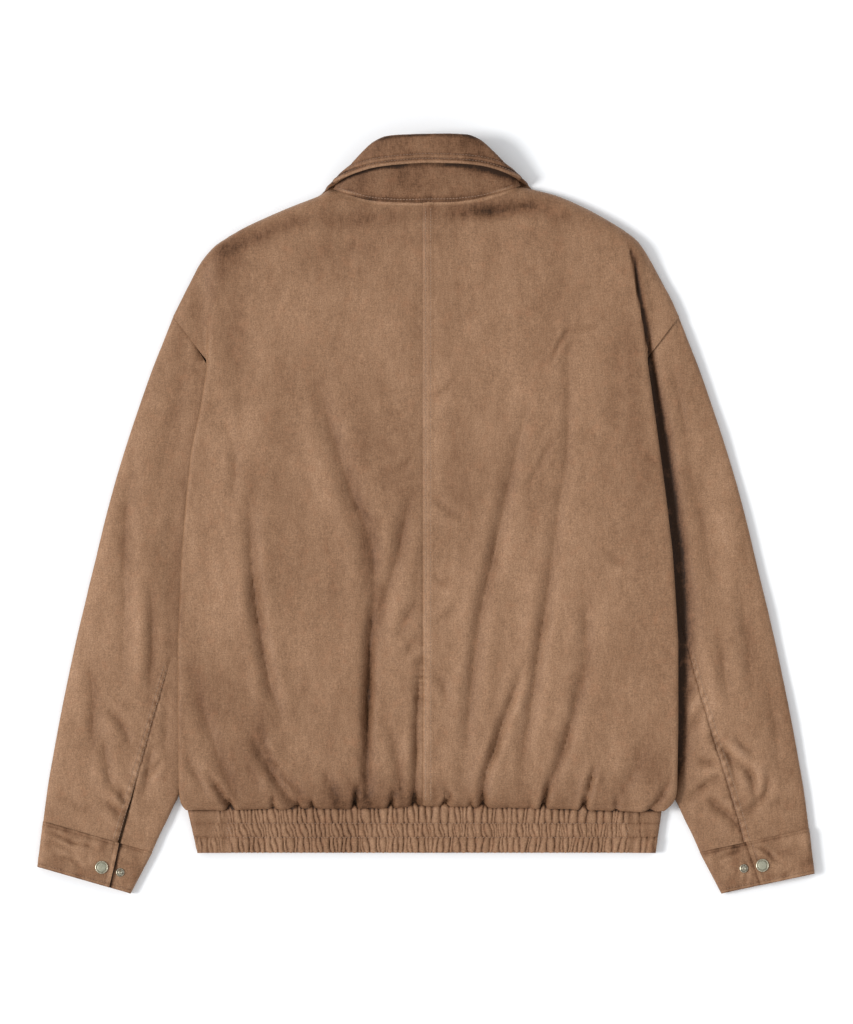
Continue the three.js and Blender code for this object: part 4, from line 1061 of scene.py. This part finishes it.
def seam_puckers(x, y, edge_x, reach, strength):
    """Small uneven pulls across a sewn seam, dying away from it."""
    away = np.abs(x - edge_x)
    bend = y + 0.25 * away + 5 * np.sin(y * 0.11) + 3 * np.sin(y * 0.043 + 1)
    wave = np.sin(bend * 0.62) + 0.7 * np.sin(bend * 0.37 + 2) + 0.5 * np.sin(y * 0.9 + 0.3 * x)
    swell = 0.55 + 0.45 * np.sin(y * 0.031 + 0.6)
    return strength * 0.26 * wave * swell * np.exp(-away / reach)


def hem_bulge(x):
    """How far the hem hangs over the waistband, and how hard it is caught in at a notch."""
    places, depths = HEM_NOTCHES.T
    k = np.clip(np.searchsorted(places, x) - 1, 0, len(places) - 2)
    gap = places[k + 1] - places[k]
    t = np.clip((x - places[k]) / gap, 0, 1)
    nearest = np.minimum(x - places[k], places[k + 1] - x)
    caught = np.exp(-(np.clip(nearest, 0, FAR) / 1.9) ** 1.2)
    depth = lerp(depths[k], depths[k + 1], ease(t, 0.45, 0.55))
    pinched = 0.7 * caught + 0.35 * (1 - np.sin(np.pi * t) ** 0.6)
    hang = table(HEM_LINE, x, 1) - depth * pinched
    return np.maximum(hang, -4.0), caught * depth / 3


def add_back(side):
    grid = refine(back_grid(side), 2.0, rows=(1.15, 48), columns=(1.2, 22))
    if side == "right":
        grid = grid[::-1]
    grid = facing_up(grid, 5)
    x, y = grid[..., 0], grid[..., 1]
    n = normals(grid)
    inside = np.where(y < YOKE_Y, ease(body(side, y) - np.abs(x), 0.5, 12), 1)
    above = np.cumsum(n[..., 2] < 0, axis=1) == 0
    on_top = above * inside * ease(n[..., 2], 0.15, 0.8)
    height, shade = crease_height(x, y, BACK_CREASES)
    height += waves(x, y, (1, 1, 120, 3, 0.9), (1, 0.55, 44, 4, 0.4), (1, 0.8, 17, 5, 0.13))
    if side == "right":
        sunk = cleft_depth(x, y) * ease(y, 140, 170)
        height -= 4.0 * sunk
        # Painted shadow of the body's edge darkens the cleft beside the right sleeve
        shade += 4.2 * sunk
    away = x - CENTRE_BACK_X
    height -= 1.6 * bell(away, 8) * (1 - 0.5 * ease(y, 200, 320))
    height -= lerp(0.9, 0.4, ease(y, -60, 160)) * bell(away, 1.3)
    low = 1 - ease(y, -160, -60)
    pucker = seam_puckers(x, y, CENTRE_BACK_X, 9, 0.7 + 2.2 * low)
    height += pucker
    # Painted highlight on the puckers; the strip between the topstitching rows is lighter too
    light = 0.07 * pucker
    if side == "right":
        strip = ease(away, 0.8, 2) * (1 - ease(away, 9, 11.5))
        height += 0.9 * strip
        light += lerp(0.1, 0.02, ease(y, -60, 160)) * strip
        height += ridges(away, [(at, 0.9, -0.55) for at in BACK_TOPSTITCH])
    hang, caught = hem_bulge(x)
    near_hem = 1 - ease(y, HEM_Y, HEM_Y + 26)
    height -= 1.7 * caught * (1 - ease(y, HEM_Y + 2, HEM_Y + 15))
    height += 1.0 * near_hem * ease(y, HEM_Y + 1, HEM_Y + 8) * (1 - caught)
    # Painted shade at the notches and along the hem's rolled lower edge
    shade += 0.35 * caught * near_hem + 0.7 * (1 - ease(y, HEM_Y + 0.2, HEM_Y + 3.5))
    neck = path_distance(x, y, smooth_path(collar_line(0, 0)))[0]
    # Painted highlight along the rolled edge at the neck seam
    light += 0.36 * bell(neck - 1.5, 1.0)
    nap_and_shading = nap_and_shading_patches(x, y, BACK_NAP_AND_SHADING) * 0.3 - 0.17 * shade + light
    # Painted shade along the upper edge, under the collar
    nap_and_shading -= 0.1 * (1 - ease(np.abs(grid[-1, :, 1][None, :] - y), 0, 22)) * (np.abs(x) < 95)
    moved = grid.copy()
    edge = 1 - ease(y, HEM_Y + 4, HEM_Y + 30)
    moved[..., 1] -= hang * edge * above
    moved[..., 2] += np.maximum(hang, 0) * 0.9 * (1 - ease(y, HEM_Y, HEM_Y + 6)) * above
    piece = shell(f"back_panel_{side}", moved, WALL, SUEDE_BODY, height * on_top, nap_and_shading * on_top)
    return dress(piece, f"back_{side}")


# Fronts, which only show from below

def add_fronts():
    left, right = front_grid("left"), front_grid("right")
    parts = [
        ("front_panel_left", "front_left", left),
        ("front_panel_right", "front_right", right[:, PLACKET_COLUMN:]),
        ("front_placket_right", "front_right_placket", right[:, :PLACKET_COLUMN + 1]),
    ]
    pieces = {}
    for name, node, grid in parts:
        grid = facing_up(refine(grid, 4.0), 1)
        pieces[name] = dress(shell(name, grid, WALL, SUEDE_BODY), node)
    return pieces


# Sleeves and cuffs

SLEEVE_TOPSTITCH = (1.8, 6.6)
# How dark the painted shadow of each cuff's overlapping end is
LAP_SHADE = {"left": 0.8, "right": 0.2}


def add_sleeve(side):
    pieces = {}
    for outer, word in ((True, "top"), (False, "under")):
        grid = facing_up(refine(sleeve_grid(side, outer), 2.0, columns=(1.2, 12)), 3)
        x, y = grid[..., 0], grid[..., 1]
        n = normals(grid)
        above = np.cumsum(n[..., 2] < 0, axis=1) == 0
        fold = np.where(y < YOKE_Y, body(side, y), 0)
        facing = above * ease(n[..., 2], 0.1, 0.75)
        sunk = cleft_depth(x, y) * facing
        on_top = facing * ease(np.abs(x) - fold, 4, 22)
        height, shade = crease_height(x, y, SLEEVE_CREASES[side])
        height += waves(x, y, (1, 1, 100, 11, 0.9), (1, 0.6, 38, 15, 0.45), (1, 1, 16, 16, 0.14))
        near_cuff = 1 - ease(y, -345, -270)
        height += near_cuff * ripple(x * 1.6, y * 0.5, 30, 23) * 0.9
        from_seam = np.linalg.norm(grid - grid[:, :1], axis=2)
        along = np.cumsum(np.linalg.norm(np.diff(grid[:, 0], axis=0, prepend=grid[:1, 0]), axis=1))[:, None]
        wave = np.sin(along * 0.72 + 1.7 * np.sin(along * 0.06)) + 0.5 * np.sin(along * 0.39 + 1)
        height += 0.42 * wave * np.exp(-from_seam / 7)
        height -= 0.8 * bell(from_seam, 1.4)
        if outer:
            height += 0.5 * ease(from_seam, 0.5, 1.6) * (1 - ease(from_seam, 7.5, 9.5))
            height += ridges(from_seam, [(at, 0.8, -0.45) for at in SLEEVE_TOPSTITCH])
        armhole = grid[:1] if y[0].mean() > y[-1].mean() else grid[-1:]
        from_armhole = np.linalg.norm(grid - armhole, axis=2)
        height -= 0.3 * bell(from_armhole, 1.6)
        strip = bell(from_seam - 4.2, 2.6) if outer else bell(from_seam, 3) * 0.5
        seam_line = bell(from_seam, 1.3) * (1 - ease(y, -40, 0))
        patches = nap_and_shading_patches(x, y, SLEEVE_NAP_AND_SHADING[side]) * 0.3 - 0.18 * seam_line
        # Painted shade in the creases and painted highlight on the puckers beside the seam
        nap_and_shading = patches + ripple(x, y * 0.7, 90, 61) * 0.05 - 0.19 * shade + 0.13 * wave * strip
        # Painted shadow in the cleft beside the body's right edge
        nap_and_shading = nap_and_shading * on_top - 0.8 * sunk
        lift = height * on_top - 3.6 * sunk
        piece = shell(f"sleeve_{side}_{word}_cloth", grid, WALL, SUEDE_SLEEVE, lift, nap_and_shading)
        pieces[word] = dress(piece, f"sleeve_{side}_{word}")
    return pieces


def add_cuff(side):
    grid = facing_up(refine(cuff_grid(side), 1.5), 2)
    x, y = grid[..., 0], grid[..., 1]
    upper = grid[..., 2] > CUFF_INNER_Z - 1
    outer = grid[..., 2] > CUFF_OUTER_Z - 1
    lap_top, lap_low = CUFF_OVERLAP_END[side]
    seam = np.array([cuff_place(side, 0, 0), cuff_place(side, 1, 0)])
    hem = np.array([cuff_place(side, 0, 1), cuff_place(side, 1, 1)])
    lap = np.array([cuff_place(side, lap_top, -0.05), cuff_place(side, lap_low, 1.05)])
    from_seam, from_hem, from_lap = (path_distance(x, y, line)[0] for line in (seam, hem, lap))
    height = waves(x, y, (1, 1, 30, 31, 0.5), (1, 1.6, 14, 33, 0.2))
    pucker = bell(from_seam - 4.5, 3) * ripple(x * 1.5, y * 0.4, 9, 36)
    folds, shade = crease_height(x, y, CUFF_CREASES[side])
    height += 0.8 * pucker + folds
    # Painted highlight and shade on the puckers and painted shade in the creases
    nap_and_shading = waves(x, y, (1, 1, 26, 35, 0.22), (1, 1, 12, 37, 0.08)) + 0.1 * pucker - 0.4 * shade
    topstitch = [(from_seam, 2.6, 0.6), (from_hem, 3.4, 0.45), (np.where(outer, from_lap, FAR), 5.0, 0.45)]
    # Each topstitch sinks a groove with painted shade in it and a painted highlight beside it
    for away, at, deep in topstitch:
        height -= deep * bell(away - at, 0.9)
        nap_and_shading += ridges(away, [(at, 0.9, -0.16), (at - 2.0, 1.0, 0.14)])
    # Painted shade on the rounded seam and hem edges
    edges = bell(from_seam, 1.2) + bell(from_hem, 1.0)
    height -= 0.6 * edges
    nap_and_shading -= 0.25 * edges
    # Painted shadow cast by the overlapping end onto the part under it
    nap_and_shading -= np.where(outer, 0, LAP_SHADE[side]) * bell(from_lap, 2.2)
    piece = shell(f"cuff_{side}_cloth", grid, CUFF_WALL, SUEDE_CUFF, height * upper, nap_and_shading * upper)
    return dress(piece, f"cuff_{side}")


# Collar

# Ridges and topstitching along its edges, and the painted shade and highlight on them: distance, width,
# height or shade
LEAF_RELIEF = [(1.4, 1.4, 0.6), (4.4, 0.9, -0.7), (6.8, 1.2, 0.3), (9.4, 0.9, -0.55)]
LEAF_SHADING = [(1.2, 1.3, 0.3), (4.4, 0.8, -0.2), (6.6, 1.0, 0.12), (9.4, 0.8, -0.14), (27.5, 1.2, -0.3)]
STAND_RELIEF = [(2.0, 1.1, 0.7), (4.4, 0.9, -0.5)]
STAND_SHADING = [(2.2, 1.0, 0.5), (4.4, 0.9, -0.16), (0, 0.8, -0.2)]


def collar_line(column, away):
    """A path that runs beside an edge of the collar, from one side to the other."""
    rows = COLLAR[:6]
    left = [(COLLAR_CENTRE_X - r[column], r[column + 1] + away) for r in reversed(rows[1:])]
    right = [(COLLAR_CENTRE_X + r[column], r[column + 1] + away) for r in rows]
    return [(x, y + COLLAR_TILT * x) for x, y in left + right]


def add_collar():
    stand_grid, leaf_grid = collar_grids()
    parts = (("stand", stand_grid, SUEDE_STAND, 5), ("leaf", leaf_grid, SUEDE_COLLAR, -6))
    free_edge = smooth_path(collar_line(6, 0))
    neck_seam = smooth_path(collar_line(0, 0))
    pieces = []
    for name, grid, material, column in parts:
        grid = facing_up(refine(grid, 1.6), column)
        x, y = grid[..., 0], grid[..., 1]
        top = ease(grid[..., 2], 12, 18)
        height = waves(x, y, (1, 1, 70, 41, 0.5), (0.7, 1, 30, 42, 0.3), (1, 1, 12, 43, 0.12))
        nap_and_shading = waves(x, y, (1, 1.6, 40, 47, 0.06), (1, 1, 16, 48, 0.03))
        from_edge = path_distance(x, y, free_edge)[0]
        if name == "leaf":
            height += ridges(from_edge, LEAF_RELIEF)
            # Painted highlight and shade along the leaf's edge, and darker towards its right side
            nap_and_shading += ridges(from_edge, LEAF_SHADING) - 0.12 * ease(x, 20, 75)
        else:
            from_neck = path_distance(x, y, neck_seam)[0]
            height += ridges(from_neck, STAND_RELIEF)
            # Painted highlight and shade along the neck seam, and painted shadow under the leaf's free edge
            nap_and_shading += ridges(from_neck, STAND_SHADING) - 0.5 * bell(from_edge, lerp(1.8, 5.0, ease(x, 10, 65)))
        piece = shell(f"collar_{name}_cloth", grid, COLLAR_WALL, material, height * top, nap_and_shading * top)
        pieces.append(dress(piece, f"collar_{name}"))
    return pieces


# Waistband

BAND_COLUMNS = 600
BAND_ROWS = 45
BAND_TUCK = (-294.5, -296.5, -298.4)


def gathers(x, y):
    """Height of the elastic's gathers at each place, and how deep in a valley each place lies, which sets
    the painted shade there.
    """
    height = np.zeros(x.shape)
    valley = np.zeros(x.shape)
    left, right = BAND_BACK_X["left"] - 40, BAND_BACK_X["right"] + 40
    width = BAND_BACK_X["right"] - BAND_BACK_X["left"]
    for k, (top, bottom, count, size, lean_left, lean_right) in enumerate(GATHER_ROWS):
        rng = np.random.default_rng(70 + k)
        steps = width / count * rng.uniform(0.4, 1.6, int(count * (right - left) / width) + 6)
        valleys = left + np.cumsum(steps)
        tall = rng.uniform(0.55, 1.15, len(valleys))
        share = np.clip((top - y) / (top - bottom), 0, 1)
        lean = lerp(lean_left, lean_right, (x - left) / (right - left)) + 1.6 * np.sin(x * 0.13 + 3 * k)
        place = x + (share - 0.5) * lean + 0.5 * np.sin(share * 5 + x * 0.4)
        i = np.clip(np.searchsorted(valleys, place) - 1, 0, len(valleys) - 2)
        gap = valleys[i + 1] - valleys[i]
        u = np.clip((place - valleys[i]) / gap, 0, 1)
        profile = (4 * u * (1 - u)) ** 0.7
        bean = profile * tall[i] * np.minimum(gap / 5, 1.1) * (0.8 + 0.2 * np.sin(share * 9 + 2.3 * i))
        swell = np.sin(np.pi * np.clip(share, 0.04, 0.75 if k == 2 else 0.96)) ** 0.55
        inside = (y <= top) & (y > bottom) if k < 2 else (y <= top)
        height = np.where(inside, size * bean * swell, height)
        valley = np.where(inside, 1 - profile, valley)
    return height, valley


def band_shading(x, y, valley, strength):
    """Painted shade in the valleys between the gathers and along the sewn lines, painted highlight on their
    crests, and the painted shadow under the hem's overhang.
    """
    line = sum(bell(y - at, 0.8) + 0.6 * bell(y - at, 2.4) for at in SHIRR_LINES)
    shaded = bell(np.clip(HEM_Y - hem_bulge(x)[0] - y, 0, FAR), 1.9)
    crest = bell(valley, 0.25)
    return strength * (0.17 * crest - 0.46 * valley**2.4) - 0.1 * line - 0.5 * shaded


def add_band_back():
    xs = np.linspace(BAND_BACK_X["left"], BAND_BACK_X["right"], BAND_COLUMNS + 1)
    ys = np.concatenate([BAND_TUCK, np.linspace(BAND_TOP_Y, BAND_BOTTOM_Y, BAND_ROWS + 1)])
    x, y = np.meshgrid(xs, ys)
    height, valley = gathers(x, y)
    ends = ease(x, xs[0], xs[0] + 9) * (1 - ease(x, xs[-1] - 9, xs[-1]))
    level = BAND_END_Z + BAND_WALL / 2 - BAND_INNER_Z - BAND_BACK_WALL
    height = lerp(level, height - 0.4, ends)
    grid = np.stack([x, y, np.full(x.shape, BAND_INNER_Z + BAND_BACK_WALL / 2)], -1)
    tucked = ease(y, BAND_TOP_Y - 1, BAND_TOP_Y + 4)
    grid[..., 2] -= 2.0 * tucked
    height = height * (1 - 0.6 * tucked)
    moved = grid.copy()
    moved[..., 1] += 2.0 * valley * ends * (1 - ease(y, BAND_BOTTOM_Y, BAND_BOTTOM_Y + 4))
    moved = facing_up(moved, 2)
    if moved[0, 0, 1] != grid[0, 0, 1]:
        height, valley, ends = height[::-1], valley[::-1], ends[::-1]
    nap_and_shading = band_shading(moved[..., 0], moved[..., 1], valley, ends)
    piece = shell("waistband_back_cloth", moved, BAND_BACK_WALL, SUEDE_BAND, height, nap_and_shading)
    return dress(piece, "waistband_back")


def add_band_end(side):
    grid = facing_up(refine(band_end_grid(side), 1.5, columns=(1.0, 36)), 2)
    x, y = grid[..., 0], grid[..., 1]
    n = normals(grid)
    on_top = (grid[..., 2] > BAND_END_Z - 3) * ease(n[..., 2], 0.1, 0.7)
    height, valley = gathers(x, y)
    away = np.abs(x) - abs(BAND_BACK_X[side])
    reach = np.select([y > SHIRR_LINES[0], y > SHIRR_LINES[1]], [9.0, 14.0], 44.0)
    fade = ease(away, 0, 4) * (1 - ease(away, reach * 0.6, reach))
    height = 0.7 * height * fade + ripple(x, y, 22, 53) * 0.5
    for line in SHIRR_LINES:
        height -= 0.7 * bell(y - line, 1.2)
    nap_and_shading = band_shading(x, y, valley, 0.8 * fade) * on_top
    piece = shell(f"waistband_{side}_cloth", grid, BAND_WALL, SUEDE_BAND, height * on_top, nap_and_shading)
    return dress(piece, f"waistband_{side}")


back = {side: add_back(side) for side in SIDES}
fronts = add_fronts()
sleeve = {side: add_sleeve(side) for side in SIDES}
cuff = {side: add_cuff(side) for side in SIDES}
collar_stand, collar_leaf = add_collar()
band_back = add_band_back()
band_end = {side: add_band_end(side) for side in SIDES}


# Snaps

CAP_AT = {"left": (-333.0, -362.7), "right": (345.3, -360.7)}
STUD_AT = {"left": (-314.0, -368.0), "right": (326.3, -364.0)}
NICKEL_RIM = nickel("nickel_rim", (0.60, 0.56, 0.43), (0.24, 0.22, 0.16), 0.3, 0.95)
NICKEL_FACE = nickel("nickel_face", (0.37, 0.365, 0.275), (0.26, 0.25, 0.185), 0.44, 0.6)
NICKEL_STUD = nickel("nickel_stud", (0.50, 0.46, 0.36), (0.16, 0.14, 0.1), 0.3, 0.95)
NICKEL_DARK = nickel("nickel_dark", (0.30, 0.27, 0.20), (0.07, 0.06, 0.04), 0.4, 0.95)
# Half sections of the snaps: radius, height
RIM_PROFILE = [
    (6.2, 0.0), (6.6, 0.15), (6.75, 0.5), (6.7, 0.95), (6.4, 1.3), (5.95, 1.48),
    (5.6, 1.4), (5.4, 1.1), (5.3, 0.6), (5.2, 0.15),
]
FACE_PROFILE = [(5.1, 0.1), (4.7, 0.2), (4.6, 0.9), (4.3, 1.1), (3.2, 1.2), (1.6, 1.26), (0.3, 1.28)]
STUD_PROFILE = [
    (4.0, 0.0), (4.4, 0.25), (4.4, 0.75), (4.1, 1.1), (3.4, 1.2), (3.1, 0.8), (2.9, 0.2), (1.9, 0.2),
    (1.75, 1.4), (1.95, 1.9), (1.9, 2.4), (1.4, 2.62), (0.9, 2.4), (0.6, 1.6),
]


def add_snaps(side):
    parts = [
        ("rim", "cap", CAP_AT, CUFF_OUTER_Z, RIM_PROFILE, 40, NICKEL_RIM),
        ("face", "cap", CAP_AT, CUFF_OUTER_Z, FACE_PROFILE, 40, NICKEL_FACE),
        ("stud", "stud", STUD_AT, CUFF_INNER_Z, STUD_PROFILE, 32, NICKEL_STUD),
    ]
    for name, node, places, level, profile, sides, material in parts:
        centre = (*places[side], level + CUFF_WALL / 2 + SEAM)
        piece = lathe(f"snap_{name}_{side}", centre, profile, sides, material)
        dress(piece, f"cuff_{side}_snap_{node}", slot="snap_metal")


for side in SIDES:
    add_snaps(side)
for name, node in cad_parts.items():
    if name.startswith("front_snap") or name == "waistband_snap":
        node.data.materials.clear()
        node.data.materials.append(NICKEL_DARK)


# Stitching

STITCHED_FROM_ROW = 7


def sleeve_line(side, away):
    rows = range(STITCHED_FROM_ROW, len(SLEEVE))
    return [sleeve_plan(side, row, back_seam(side, row), away) for row in rows]


def cuff_line(side, part, share, to_part, to_share):
    """A straight path on a cuff, with places given as in cuff_place."""
    steps = np.linspace(0, 1, 5)
    return [cuff_place(side, lerp(part, to_part, t), lerp(share, to_share, t)) for t in steps]


add_stitches("stitches_centre_back", back["right"], [
    [(CENTRE_BACK_X + low, -297), (CENTRE_BACK_X + middle, 0), (CENTRE_BACK_X + high, 316)]
    for low, middle, high in ((3.2, 3.4, 3.0), (8.5, 8.3, 8.4))
])
add_stitches("stitches_collar_leaf", collar_leaf, [collar_line(6, 4.4), collar_line(6, 9.2)],
             radius=0.3, material=THREAD_DARK)
add_stitches("stitches_collar_stand", collar_stand, [collar_line(0, 3.2 + NECK_EASE)])
for side in SIDES:
    top, low = CUFF_OVERLAP_END[side]
    seams = [sleeve_line(side, away) for away in SLEEVE_TOPSTITCH]
    add_stitches(f"stitches_sleeve_{side}", sleeve[side]["top"], seams)
    add_stitches(f"stitches_cuff_{side}", cuff[side], [
        cuff_line(side, low + 0.05, 0.92, 0.95, 0.92),
        cuff_line(side, top + 0.05, 0.08, low + 0.05, 0.9),
        cuff_line(side, 0.06, 0.92, low - 0.03, 0.92),
    ], radius=0.2)
band_lines = [[(-205, y), (-60, y), (60, y), (210, y)] for y in SHIRR_LINES]
band_tacks = [[(-205, -321), (-199, -329)], [(-199, -321), (-205, -329)], [(209, -321), (205, -330)]]
add_stitches("stitches_waistband", band_back, band_lines + band_tacks, length=2.0, radius=0.3)


# Floor, light and camera

FLOOR_SIZE = 8
FLOOR_Z = -0.0006
CAMERA_DISTANCE = 12.0
CAMERA_X = 0.0005
CAMERA_Y = 0.002
SENSOR_WIDTH = 36
FRAME_HEIGHT = 1024
MM_PER_PIXEL = 1.0276


def add_floor():
    bpy.ops.mesh.primitive_plane_add(size=FLOOR_SIZE, location=(0, 0, FLOOR_Z))
    floor = bpy.context.object
    floor.name = "floor"
    material, _, shader = new_material("floor")
    set_inputs(shader, {"Base Color": (0.93, 0.94, 0.95, 1), "Roughness": 0.95, "Specular IOR Level": 0.0})
    floor.data.materials.append(material)


def add_sun(name, direction, strength, angle):
    light = bpy.data.lights.new(name, "SUN")
    light.energy = strength
    light.angle = math.radians(angle)
    lamp = bpy.data.objects.new(name, light)
    lamp.rotation_euler = Vector(direction).to_track_quat("-Z", "Y").to_euler()
    bpy.context.scene.collection.objects.link(lamp)


def add_world(strength, color):
    world = bpy.data.worlds.new("studio")
    world.use_nodes = True
    background = world.node_tree.nodes["Background"]
    background.inputs["Color"].default_value = (*color, 1)
    background.inputs["Strength"].default_value = strength
    bpy.context.scene.world = world


add_floor()
add_sun("key", (0.85, 0.02, -0.8), 2.06, 17)
add_world(0.8, (0.975, 0.985, 1.0))

camera_data = bpy.data.cameras.new("camera")
camera_data.sensor_width = SENSOR_WIDTH
camera_data.lens = SENSOR_WIDTH * CAMERA_DISTANCE / (FRAME_HEIGHT * MM_PER_PIXEL * MM)
camera_data.clip_end = 40
camera = bpy.data.objects.new("camera", camera_data)
camera.location = (CAMERA_X, CAMERA_Y, CAMERA_DISTANCE)
bpy.context.scene.collection.objects.link(camera)
bpy.context.scene.camera = camera
bpy.context.scene.view_settings.view_transform = "Standard"
